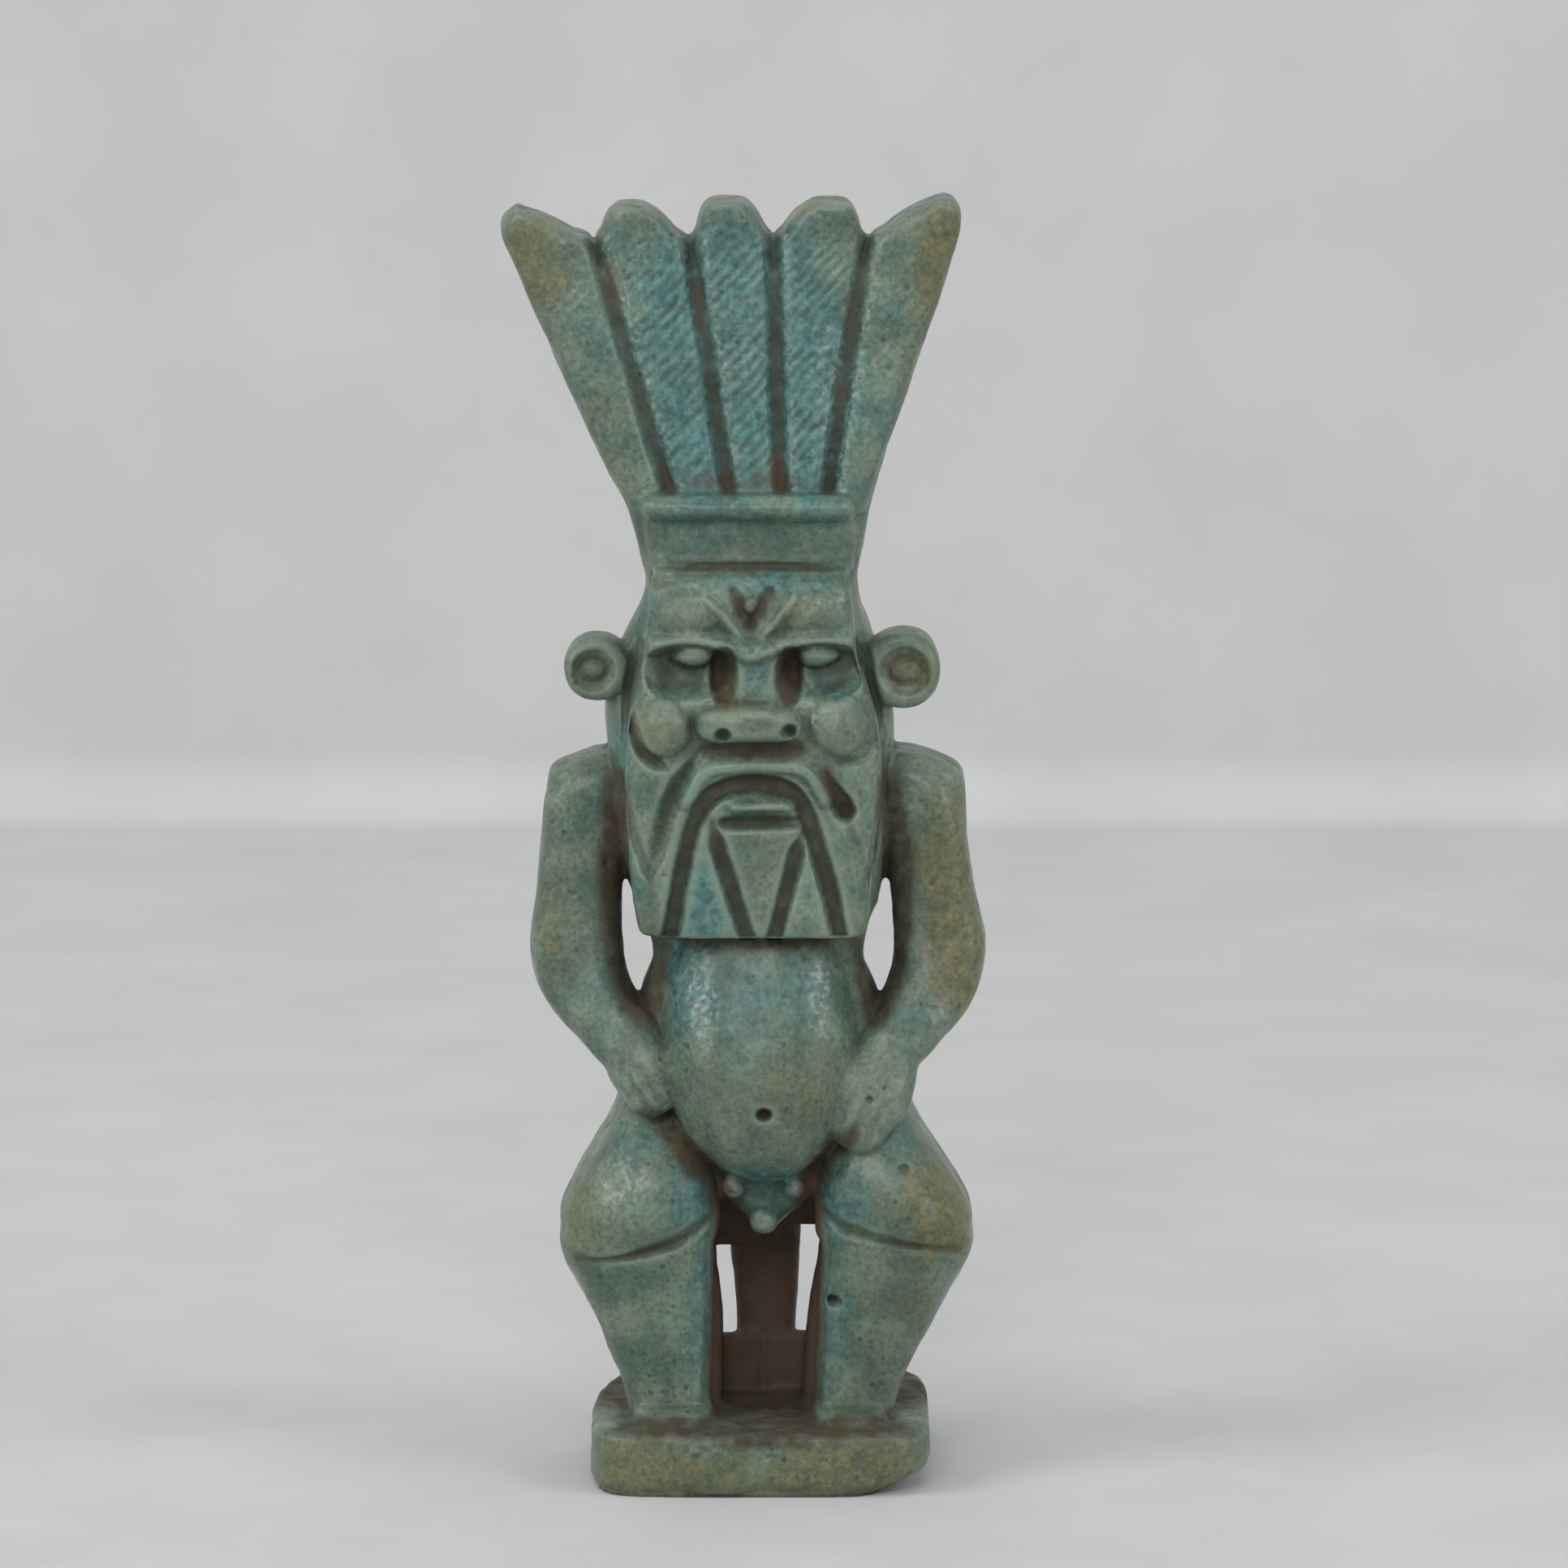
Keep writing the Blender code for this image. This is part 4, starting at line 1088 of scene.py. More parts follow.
    def beard_relief(self, at: View) -> Array:
        """The moustache, the lip, and the grooves that part the locks and the tongue below it.

        Args:
            at: X and Z of the places.

        Returns:
            The height at each place.
        """
        total = stroke(at, curved(self.moustache), 0.75, 0.26, 1.2)
        total -= stroke(at, curved(self.lip_groove), 0.86, 0.5, 1.7)
        for line, width in zip(self.tongue_lines, (0.84, 0.76)):
            total -= stroke(at, curved(line), width, 0.4, 1.6, (0.3, 0.0))
        total -= stroke(at, curved(self.left_beard_line), 1.0, 0.36, 1.1, (0.3, 0.3))
        total -= stroke(at, self.right_beard_line[:2], 1.0, 0.55, 1.8, (0.9, 0.0))
        total -= stroke(at, self.right_beard_line[1:], 0.6, 0.16, 1.0)
        total += stroke(at, ((-0.6, 22.35), (1.4, 22.4)), 0.6, 0.34, 1.2)
        return total - stroke(at, ((-1.0, 21.76), (1.5, 21.8)), 0.62, 0.34, 1.3)

    def ear_relief(self, at: View) -> Array:
        """The bowl of each ear with the small knob in it.

        Args:
            at: X and Z of the places.

        Returns:
            The height at each place.
        """
        total = np.zeros(len(at[0]))
        for ear, height, radius in self.ears:
            hollow = (ear + 0.1 * np.sign(ear), height)
            total -= dome(at, hollow, (0.7 * radius, 0.68 * radius), 0.36)
            total += dome(at, hollow, (0.4 * radius, 0.3 * radius), 0.24)
        return total

    def seams(self) -> list[Seam]:
        """Painted shade with earth along the grooves of the face and the beard, and painted highlights on the
        right cheek and along the foot of the band.

        Returns:
            The stains along lines.
        """
        made = [
            Seam(Tint.SOIL_AND_SHADE, curved(self.lip_groove), 0.76, 0.5),
            Seam(Tint.RUST, curved(self.lip_groove)[15:30], 0.5, 0.15),
            Seam(Tint.SOIL_AND_SHADE, curved(self.tongue_lines[0]), 0.76, 0.5),
            Seam(Tint.SOIL_AND_SHADE, curved(self.tongue_lines[1]), 0.7, 0.35),
            Seam(Tint.SOIL_AND_SHADE, self.right_beard_line[:2], 0.8, 0.8),
            Seam(Tint.RUST, self.right_beard_line[:2], 0.5, 0.12),
            Seam(Tint.SOIL_AND_SHADE, curved(self.left_beard_line), 0.7, 0.25),
            Seam(Tint.SOIL_AND_SHADE, ((-1.5, 24.4), (1.8, 24.4)), 0.9, 0.4),
            Seam(Tint.SOIL_AND_SHADE, ((-0.9, 21.76), (1.4, 21.8)), 0.5, 0.4),
            Seam(Tint.SOIL_AND_SHADE, ((-3.95, 25.0), (-3.75, 24.3), (-3.1, 23.8)), 0.5, 0.45),
            Seam(Tint.SOIL_AND_SHADE, curved(self.band_foot), 0.4, 0.3),
            Seam(Tint.BLOOM, ((2.0, 26.9), (2.05, 26.1), (2.2, 25.5)), 0.5, 1.4),
            Seam(Tint.BLOOM, ((1.5, 29.65), (3.2, 29.55)), 0.25, 0.5),
            Seam(Tint.BLOOM, ((-3.3, 30.2), (-1.6, 30.0)), 0.25, 0.4),
        ]
        made += [Seam(Tint.SOIL_AND_SHADE, line, 0.6, 0.5) for line in self.knot_grooves]
        made += [Seam(Tint.SOIL_AND_SHADE, line, 0.5, 0.25) for line in self.lappet_edges]
        made += [Seam(Tint.SOIL_AND_SHADE, line, 0.5, 0.3) for line in (self.left_edge, self.right_edge)]
        return made


@dataclass(frozen=True)
class Crown(SubAssembly):
    """The crown: a band with a rim, a slab that fans out of it, and five plumes on the slab's front."""

    band: Rows = (
        (30.3, 3.62, -3.05, 2.5), (31.0, 3.66, -3.1, 2.5), (32.2, 3.78, -3.15, 2.5), (33.1, 3.9, -3.1, 2.4),
    )
    rim: Rows = (
        (32.2, 3.7, -3.2, 1.0), (32.5, 3.8, -3.5, 1.0), (32.8, 3.82, -3.5, 1.0), (33.1, 3.75, -3.2, 1.0),
    )
    slab: Rows = (
        (29.6, 3.7, -1.6, 2.5), (31.0, 3.98, -1.8, 2.4), (32.4, 4.28, -2.3, 2.2), (34.2, 4.98, -2.3, 2.0),
        (37.0, 5.88, -2.08, 1.8), (40.0, 6.98, -1.82, 1.6), (40.8, 7.22, -1.72, 1.4),
        (41.2, 7.2, -1.3, 1.1),
    )
    plume_foot: float = 32.4
    plume_valley: float = 41.45
    foot_lines: Row = (-4.15, -2.5, -0.5, 1.25, 2.75, 4.15)
    valley_lines: Row = (-7.85, -4.7, -1.4, 1.45, 4.65, 7.8)
    foot_faces: tuple[float, float] = (-2.8, 1.3)
    tip_faces: tuple[float, float] = (-2.05, 1.0)
    tips: Rows = (
        (42.95, 0.24, 0.36), (43.1, 0.28, 0.64), (43.25, 0.24, 0.74), (43.2, 0.34, 0.8), (43.3, 0.56, 0.84),
    )
    flare: float = 0.12
    shoulders: Rows = ((0.0, 0.0), (0.45, 0.34), (0.8, 0.72), (1.0, 1.15))
    barb_pitch: float = 0.36
    barb_wander: Rows = ((0.12, 1.2, 31), (0.05, 0.5, 33))
    barb_heights: Row = (0.012, 0.03, 0.042, 0.038, 0.018)
    # Turquoise on the middle plumes, yellow tips, and rust at the foot of a groove and on the band
    stains: Stains = (
        (Tint.TURQUOISE, (
            (0.0, 37.8, 5.9, 7.4, 0.85, -2.4), (2.6, 36.0, 1.6, 4.2, 0.45, -2.4),
            (-2.0, 35.0, 1.4, 3.2, 0.35, -2.4),
        )),
        (Tint.BLOOM, (
            (3.2, 36.6, 0.9, 3.4, 0.45, -2.4), (0.4, 38.6, 1.0, 2.6, 0.3, -2.4),
            (-3.6, 38.6, 1.0, 2.4, 0.25, -2.4), (-5.4, 38.0, 1.6, 5.0, 0.22, -2.0),
            (5.4, 37.0, 1.4, 5.0, 0.15, -2.0),
        )),
        (Tint.OCHRE, (
            (-7.0, 41.4, 1.6, 2.2, 0.8, -2.0), (-4.6, 35.2, 1.6, 3.0, 0.45, -2.0),
            (7.7, 40.8, 1.7, 3.6, 1.0, -2.0), (6.2, 36.2, 1.0, 3.4, 0.5, -2.0),
            (0.0, 43.0, 6.5, 0.7, 0.4, -2.0),
        )),
        (Tint.RUST, (
            (1.15, 33.9, 0.4, 0.8, 0.8, -2.8), (-1.25, 39.4, 0.28, 1.1, 0.2, -2.4),
            (-4.2, 40.3, 0.3, 1.2, 0.4, -2.4), (4.05, 39.2, 0.28, 0.9, 0.3, -2.4),
            (3.45, 36.6, 0.28, 0.6, 0.45, -2.4), (-0.3, 33.5, 3.0, 0.3, 0.35, -3.0),
        )),
        (Tint.SOIL_AND_SHADE, ((0.2, 31.5, 1.5, 0.5, 0.35, -3.4), (0.0, 30.7, 3.6, 0.35, 0.5, -3.4))),
    )

    def line_at(self, i: int, rise: Array | float) -> Array | float:
        """The X of a dividing line: straight from band to valley, with the outer two bowed outwards.

        Args:
            i: Which line, from the left.
            rise: The share of the way up from the band to the valleys.

        Returns:
            Its X at each share.
        """
        outward = (self.valley_lines[i] / self.valley_lines[-1]) ** 3
        bow = self.flare * outward * 4 * np.maximum(rise * (1 - rise), 0)
        return self.foot_lines[i] + (self.valley_lines[i] - self.foot_lines[i]) * rise + bow

    def forms(self) -> list[Form]:
        """Band, rim, slab and plumes.

        Returns:
            The closed forms.
        """
        made = [stack(even(self.slab), 7.0), stack(even(self.band), 6.0), stack(even(self.rim), 7.0)]
        span = self.plume_valley - self.plume_foot
        for i, (tip, crest_from, crest_to) in enumerate(self.tips):
            levels = [(self.plume_foot, 0.0), (self.plume_foot + span / 2, 0.0)]
            above = tip - self.plume_valley
            levels += [(self.plume_valley + above * share, cut) for share, cut in self.shoulders]
            slices = []
            for z, cut in levels:
                rise = (z - self.plume_foot) / span
                left, right = self.line_at(i, rise), self.line_at(i + 1, rise)
                left_cut = cut**2 if i == 0 else cut
                right_cut = cut**2 if i == len(self.tips) - 1 else cut
                in_left = left + left_cut * crest_from * (right - left)
                in_right = right - right_cut * (1 - crest_to) * (right - left)
                faces = (a + (b - a) * min(rise, 1) for a, b in zip(self.foot_faces, self.tip_faces))
                slices.append((z, in_left, in_right, *faces))
            made.append(stack(tuple(slices), 3.6))
        return made

    def relief(self, at: View) -> Array:
        """The grooves between the plumes, their slanting barbs, and the hollow face of the band.

        Args:
            at: X and Z of the places.

        Returns:
            The height at each place.
        """
        x, z = at
        rise = (z - self.plume_foot) / (self.plume_valley - self.plume_foot)
        total = np.zeros(len(x))
        for i in range(1, len(self.tips)):
            ends = ((self.line_at(i, 0.11), 33.4), (self.line_at(i, 1.1), 42.3))
            total -= stroke(at, ends, 0.8, 0.12, 1.5)
        ground = np.stack([x, 0 * x, z], axis=1)
        wander = layered_noise(ground, self.barb_wander)
        wave = np.sin(2 * np.pi * ((x - z) / math.sqrt(2) + wander) / self.barb_pitch)
        wave *= 0.65 + 0.35 * lattice_noise(ground, 0.8, 35)
        on_plumes = eased((z - 33.4) / 0.5) * eased((42.7 - z) / 0.8)
        for i, height in enumerate(self.barb_heights):
            left, right = self.line_at(i, rise), self.line_at(i + 1, rise)
            inside = eased((x - left - 0.2) / 0.3) * eased((right - 0.2 - x) / 0.3)
            total += height * wave * inside * on_plumes
        return total - dome(at, (0.0, 31.55), (4.6, 0.75), 0.14, 4.0)

    def seams(self) -> list[Seam]:
        """Earth in the grooves between the plumes, and painted highlights along their right edges.

        Returns:
            The stains along lines.
        """
        inner_lines = range(1, len(self.tips))
        grooves = [((self.line_at(i, 0.1), 33.3), (self.line_at(i, 1.05), 42.0)) for i in inner_lines]
        made = [Seam(Tint.SOIL_AND_SHADE, groove, 0.76, 0.42, -1.0) for groove in grooves]
        edges = [tuple((x + 0.44, z) for x, z in groove) for groove in grooves]
        return made + [Seam(Tint.BLOOM, edge, 0.42, 0.6, -1.0) for edge in edges]


@dataclass(frozen=True)
class Lug(SubAssembly):
    """The lug behind the crown's band: a boss round the cord hole, on a ridge that blends into the back."""

    hole: float = 1.3
    wall: float = 0.6
    length: float = 2.2
    height: float = 31.1
    root: float = 1.8
    band_back: float = 2.5
    ridge: Rows = ((-1.7, 0.7, 0.3), (-1.0, 1.0, 0.9), (0.0, 1.0, 1.0), (1.0, 1.0, 0.9), (1.7, 0.7, 0.3))
    fineness: float = 0.09
    # Soil in and round the hole
    stains: Stains = (
        (Tint.SOIL_AND_SHADE, ((0.0, 31.1, 2.0, 0.9, 0.9, 3.8, 1.1),)),
        (Tint.OCHRE, ((0.0, 31.1, 1.6, 1.6, 0.5, 5.0, 1.4),)),
    )

    def middle(self) -> tuple[float, float, float]:
        """The middle of the cord hole, a wall's thickness behind the band."""
        return (0.0, self.band_back + self.wall + self.hole / 2, self.height)

    def forms(self) -> list[Form]:
        """The boss and its ridge with the hole drilled through them.

        Returns:
            The closed forms.
        """
        radius, half = self.hole / 2 + self.wall, self.length / 2
        _, axis, height = self.middle()
        ends = ((-half, 0.82), (-half + 0.25, 1.0), (half - 0.25, 1.0), (half, 0.82))
        boss = turned(self.middle(), 0, tuple((x, radius * share) for x, share in ends), 2.0)
        slices = []
        for rise, width, reach in self.ridge:
            back = self.band_back + (axis - self.band_back) * reach
            slices.append((height + rise * radius, -half * width, half * width, self.root, back))
        joined = mesh_of([boss, stack(tuple(slices), 4.0)], "lug")
        solid = modified(joined, "REMESH", mode="VOXEL", voxel_size=self.fineness)
        drill_ends = ((-self.length, self.hole / 2), (self.length, self.hole / 2))
        drill = put_in_scene("drill", mesh_of([turned(self.middle(), 0, drill_ends, 2.0)], "drill"))
        drilled = modified(solid, "BOOLEAN", operation="DIFFERENCE", solver="EXACT", object=drill)
        bpy.data.objects.remove(drill)
        drilled.calc_loop_triangles()
        triangles = np.empty(3 * len(drilled.loop_triangles), np.int32)
        drilled.loop_triangles.foreach_get("vertices", triangles)
        return [Form(Skin(drilled).points, triangles.reshape(-1, 3))]


# Finishes


class Bench:
    """A node tree while it is being wired."""

    def __init__(self, tree: Tree) -> None:
        """Keeps the tree."""
        self.tree = tree

    def add(self, kind: str, inputs: dict[str | int, object], **settings: object) -> bpy.types.Node:
        """A new node.

        Args:
            kind: The node's type, as it stands after "ShaderNode".
            inputs: What each input gets: another node's output, or a plain value.
            **settings: The node's own settings.

        Returns:
            The node.
        """
        node = self.tree.nodes.new(f"ShaderNode{kind}")
        for name, value in settings.items():
            setattr(node, name, value)
        for name, value in inputs.items():
            self.feed(node.inputs[name], value)
        return node

    def feed(self, socket: Socket, value: object) -> None:
        """Links an output to the socket, or sets the socket's plain value."""
        if isinstance(value, bpy.types.NodeSocket):
            self.tree.links.new(value, socket)
        else:
            socket.default_value = value

    def blend(self, factor: object, first: object, second: object, mode: str = "MIX") -> Socket:
        """The second colour blended over the first by a factor."""
        inputs = {0: factor, 6: first, 7: second}
        return self.add("Mix", inputs, data_type="RGBA", blend_type=mode, clamp_factor=True).outputs[2]

    def maths(self, operation: str, *values: object, clamp: bool = False) -> Socket:
        """One sum of two or three values, held between 0 and 1 if clamped."""
        return self.add("Math", dict(enumerate(values)), operation=operation, use_clamp=clamp).outputs[0]

    def times(self, first: object, second: object, clamp: bool = False) -> Socket:
        """The product of two values."""
        return self.maths("MULTIPLY", first, second, clamp=clamp)

    def along(self, value: object, slope: float, start: object, clamp: bool = False) -> Socket:
        """A start, plus a slope times the value."""
        return self.maths("MULTIPLY_ADD", value, slope, start, clamp=clamp)

    def between(self, value: object, low: object, high: object) -> Socket:
        """A smooth step of the value: 0 at or below the low end and 1 at or above the high end."""
        inputs = {0: value, 1: low, 2: high}
        return self.add("MapRange", inputs, interpolation_type="SMOOTHSTEP").outputs[0]

    def group(self, made: Tree, place: Socket, values: Row) -> Socket:
        """The mask of a node group placed in this tree, read at a place with values of its own."""
        return self.add("Group", dict(enumerate((place, *values))), node_tree=made).outputs[0]


def new_group(name: str, inputs: dict[str, float]) -> tuple[Bench, dict[str, Socket], Socket]:
    """An empty node group with a vector and some values going in, and one mask coming out.

    Args:
        name: The group's name.
        inputs: The name and first value of each value that goes in.

    Returns:
        Its bench, what goes in by name, and where its mask is fed.
    """
    tree = bpy.data.node_groups.new(name, "ShaderNodeTree")
    tree.interface.new_socket("Vector", in_out="INPUT", socket_type="NodeSocketVector")
    for label, value in inputs.items():
        socket = tree.interface.new_socket(label, in_out="INPUT", socket_type="NodeSocketFloat")
        socket.default_value = value
    tree.interface.new_socket("Mask", in_out="OUTPUT", socket_type="NodeSocketFloat")
    given = {socket.name: socket for socket in tree.nodes.new("NodeGroupInput").outputs}
    return Bench(tree), given, tree.nodes.new("NodeGroupOutput").inputs[0]


def mottle_group() -> Tree:
    """Cloudy mottling: noise of a given scale, stepped smoothly between a low and a high level.

    Returns:
        The group's tree.
    """
    bench, given, mask = new_group("mottle", {"Scale": 1.0, "Detail": 3.0, "Low": 0.4, "High": 0.6})
    noise = bench.add("TexNoise", {name: given[name] for name in ("Vector", "Scale", "Detail")})
    bench.feed(mask, bench.between(noise.outputs[0], given["Low"], given["High"]))
    return bench.tree


def speckle_group() -> Tree:
    """Round specks: where a cell pattern's distance is below a size, in a random share of the cells.

    Returns:
        The group's tree.
    """
    bench, given, mask = new_group("speckle", {"Scale": 2.0, "Size": 0.3, "Share": 0.4})
    wobble = bench.add("TexNoise", {"Vector": given["Vector"], "Scale": 5.0, "Detail": 2.0})
    shaken = bench.add("VectorMath", {0: wobble.outputs[1], 1: (0.12, 0.12, 0.12)}, operation="MULTIPLY")
    moved = bench.add("VectorMath", {0: given["Vector"], 1: shaken.outputs[0]}, operation="ADD")
    cells = bench.add("TexVoronoi", {"Vector": moved.outputs[0], "Scale": given["Scale"]})
    near = bench.between(cells.outputs["Distance"], given["Size"], bench.times(given["Size"], 0.5))
    draw = bench.add("SeparateColor", {0: cells.outputs["Color"]})
    bench.feed(mask, bench.times(near, bench.maths("LESS_THAN", draw.outputs[0], given["Share"])))
    return bench.tree


def new_material(name: str) -> Material:
    """A material with nodes.

    Args:
        name: The material's name.

    Returns:
        The material.
    """
    made = bpy.data.materials.new(name)
    made.use_nodes = True
    return made


@dataclass(frozen=True)
class FaienceFinish:
    """Worn pale glaze over green-blue faience, with earth and painted shade in its hollows, and painted
    highlights on its ridges and in its bloom.

    Clouds are rows of scale, detail, low and high, and specks are rows of scale, size and share.
    """

    body: Colour = (0.066, 0.108, 0.078, 1.0)
    body_pale: Colour = (0.140, 0.196, 0.138, 1.0)
    turquoise: Colour = (0.082, 0.206, 0.188, 1.0)
    # Deep turquoise, also the tone that the painted shade of wide hollows is multiplied towards
    turquoise_deep: Colour = (0.038, 0.104, 0.102, 1.0)
    ochre: Colour = (0.162, 0.154, 0.070, 1.0)
    olive: Colour = (0.096, 0.106, 0.052, 1.0)
    # Dark earth, also the colour of the painted shade in creases and hollows
    soil_and_shade: Colour = (0.058, 0.048, 0.028, 1.0)
    rust: Colour = (0.125, 0.058, 0.028, 1.0)
    # Brown earth, also the colour of the painted shade between the legs
    umber_and_shade: Colour = (0.128, 0.082, 0.054, 1.0)
    # Whitish bloom, also the colour of the painted highlights
    bloom_and_highlight: Colour = (0.420, 0.490, 0.455, 1.0)
    pore: Colour = (0.040, 0.052, 0.038, 1.0)
    # The dark of grooves and fine hollows: earth with painted shade
    groove: Colour = (0.052, 0.056, 0.038, 1.0)
    # Paler ridges: glaze worn off the edges, with a painted highlight
    ridge: Colour = (0.225, 0.300, 0.230, 1.0)
    body_clouds: Row = (0.55, 5.0, 0.32, 0.68)
    fleck_clouds: Row = (2.6, 4.0, 0.35, 0.68)
    pore_clouds: Row = (0.45, 3.0, 0.45, 0.62)
    bloom_and_highlight_clouds: Row = (4.5, 6.0, 0.42, 0.74)
    crumb_clouds: Row = (1.7, 5.0, 0.3, 0.7)
    rubbed_clouds: Row = (1.3, 4.0, 0.35, 0.7)
    pore_specks: Row = (2.3, 0.3, 0.3)
    grit_specks: Row = (4.6, 0.38, 0.35)
    dark_grain: float = 0.45
    pale_grain: float = 1.62
    glaze_roughness: float = 0.38
    coat_roughness: float = 0.28
    reflection: float = 0.42
    bump_depth: float = 0.00006

    def material(self, mottle: Tree, speckle: Tree) -> Material:
        """The finish as a node material, from the mottling group and the speck group."""
        return FaienceBench(self, mottle, speckle).wired()


class FaienceBench(Bench):
    """The faience material while it is being wired, over places on the skin in millimetres."""

    def __init__(self, finish: FaienceFinish, mottle: Tree, speckle: Tree) -> None:
        """Starts the material.

        Args:
            finish: Its colours and patterns.
            mottle: The mottling group.
            speckle: The speck group.
        """
        self.material = new_material("worn_faience")
        super().__init__(self.material.node_tree)
        self.finish, self.mottle, self.speckle = finish, mottle, speckle
        self.shader = self.tree.nodes["Principled BSDF"]
        place = self.add("TexCoord", {}).outputs["Object"]
        self.grid = self.add("Mapping", {"Vector": place, "Scale": (1000.0, 1000.0, 1000.0)}).outputs[0]

    def clouds(self, row: Row) -> Socket:
        """Mottling over the skin."""
        return self.group(self.mottle, self.grid, row)

    def specks(self, row: Row) -> Socket:
        """Specks over the skin."""
        return self.group(self.speckle, self.grid, row)

    def grain(self, scale: float, roughness: float) -> Socket:
        """Fine noise over the skin."""
        inputs = {"Vector": self.grid, "Scale": scale, "Detail": 6.0, "Roughness": roughness}
        return self.add("TexNoise", inputs).outputs[0]

    def channels(self, name: str) -> list[Socket]:
        """The red, green and blue values of one of the skin's attributes."""
        stored = self.add("Attribute", {}, attribute_name=name)
        return list(self.add("SeparateColor", {0: stored.outputs["Color"]}).outputs)

    def wired(self) -> Material:
        """The finished material: glaze, pores, bloom with painted highlights, earth with painted shade, and
        how they shine.

        Returns:
            The material.
        """
        finish = self.finish
        pooled, yellowed, bleached_and_lit = self.channels("glaze_stain_and_highlight")
        herd = self.clouds(finish.pore_clouds)
        pores = self.times(self.specks(finish.pore_specks), herd)
        grit = self.times(self.specks(finish.grit_specks), self.along(herd, 0.75, 0.25))
        colour = self.glaze_colour(pooled, yellowed)
        for mask, share in ((pores, 0.8), (grit, 0.55)):
            colour = self.blend(self.times(mask, share), colour, finish.pore)
        # Pale bloom together with the painted highlights, broken up by clouds
        bloom_and_highlight = self.times(self.clouds(finish.bloom_and_highlight_clouds), self.times(bleached_and_lit, 0.8), clamp=True)
        dirt_and_shade, colour = self.earthed_and_shaded(self.blend(bloom_and_highlight, colour, finish.bloom_and_highlight))
        self.feed(self.shader.inputs["Base Color"], colour)
        self.gloss(dirt_and_shade, bloom_and_highlight)
        pitted = self.along(grit, -0.35, self.along(pores, -0.7, self.grain(3.2, 0.62)))
        bump = self.add("Bump", {"Strength": 0.45, "Distance": finish.bump_depth, "Height": pitted})
        self.feed(self.shader.inputs["Normal"], bump.outputs[0])
        return self.material

    def glaze_colour(self, pooled: Socket, yellowed: Socket) -> Socket:
        """The colour of the glaze: mottled body, turquoise where it pooled and yellow where it wore thin.

        Args:
            pooled: The turquoise stain.
            yellowed: The yellow stain.

        Returns:
            The colour.
        """
        finish = self.finish
        cloud, fleck = self.clouds(finish.body_clouds), self.clouds(finish.fleck_clouds)
        colour = self.blend(cloud, finish.body, finish.body_pale)
        pool = self.blend(fleck, finish.turquoise_deep, finish.turquoise)
        amount = self.maths("ADD", pooled, self.along(cloud, -0.3, 0.15))
        colour = self.blend(self.between(amount, 0.02, 0.95), colour, pool)
        worn = self.blend(fleck, finish.olive, finish.ochre)
        amount = self.maths("ADD", yellowed, self.along(fleck, 0.24, -0.132))
        colour = self.blend(self.between(amount, 0.0, 1.05), colour, worn)
        levels = {0: self.grain(5.0, 0.7), 1: 0.25, 2: 0.75, 3: finish.dark_grain, 4: finish.pale_grain}
        light = self.add("MapRange", levels).outputs[0]
        bright = self.add("CombineColor", {0: light, 1: light, 2: light}).outputs[0]
        return self.blend(1.0, colour, bright, "MULTIPLY")

    def earthed_and_shaded(self, colour: Socket) -> tuple[Socket, Socket]:
        """The paler ridges, worn and with a painted highlight, the painted shade of the hollows, and the
        earth laid over the glaze in hollows and stains.

        Args:
            colour: The glaze's colour.

        Returns:
            The mask of earth and painted shade, and the colour with its earth and painted shade.
        """
        finish = self.finish
        soiled_and_shaded, rusted, browned_and_shaded = self.channels("earth_stain_and_shade")
        fine, wide, worn = self.channels("hollow_shade_and_ridge_highlight")
        crumb = self.clouds(finish.crumb_clouds)
        # Paler ridges: glaze worn off the edges, with a painted highlight
        colour = self.blend(self.times(worn, 0.5), colour, finish.ridge)
        # Painted shade: wide hollows multiplied darker towards deep turquoise
        shade = self.times(self.times(wide, self.along(crumb, 0.45, 0.55)), 0.6)
        colour = self.blend(shade, colour, finish.turquoise_deep, "MULTIPLY")
        # Darker in grooves and fine hollows: earth with painted shade
        dirt_and_shade = self.times(fine, self.along(crumb, 0.4, 0.6))
        colour = self.blend(dirt_and_shade, colour, finish.groove)
        # Earth stains, with painted shade laid in the soil and umber stains
        broken, even_crumb = self.along(crumb, 0.5, 0.6), self.along(crumb, 0.3, 0.85)
        layers = (
            (soiled_and_shaded, broken, finish.soil_and_shade), (browned_and_shaded, even_crumb, finish.umber_and_shade), (rusted, broken, finish.rust),
        )
        for stain, breaks, earth in layers:
            mask = self.times(stain, breaks, clamp=True)
            colour = self.blend(mask, colour, earth)
            dirt_and_shade = self.maths("MAXIMUM", dirt_and_shade, mask)
        return dirt_and_shade, colour

    def gloss(self, dirt_and_shade: Socket, bloom_and_highlight: Socket) -> None:
        """Sets how the glaze shines: softly where whole, and hardly at all under earth, painted shade, bloom
        and painted highlights.

        Args:
            dirt_and_shade: The mask of earth and painted shade.
            bloom_and_highlight: The mask of pale bloom and painted highlights.
        """
        rubbed = self.clouds(self.finish.rubbed_clouds)
        rough = self.along(bloom_and_highlight, 0.12, self.along(rubbed, 0.22, self.finish.glaze_roughness))
        clean = self.maths("SUBTRACT", 1.0, dirt_and_shade, clamp=True)
        values = {
            "Roughness": self.along(dirt_and_shade, 0.4, rough, clamp=True),
            "Coat Weight": self.times(self.along(rubbed, -0.2, 0.35), clean),
            "Coat Roughness": self.finish.coat_roughness,
            "Specular IOR Level": self.finish.reflection,
            "Metallic": 0.0,
        }
        for name, value in values.items():
            self.feed(self.shader.inputs[name], value)


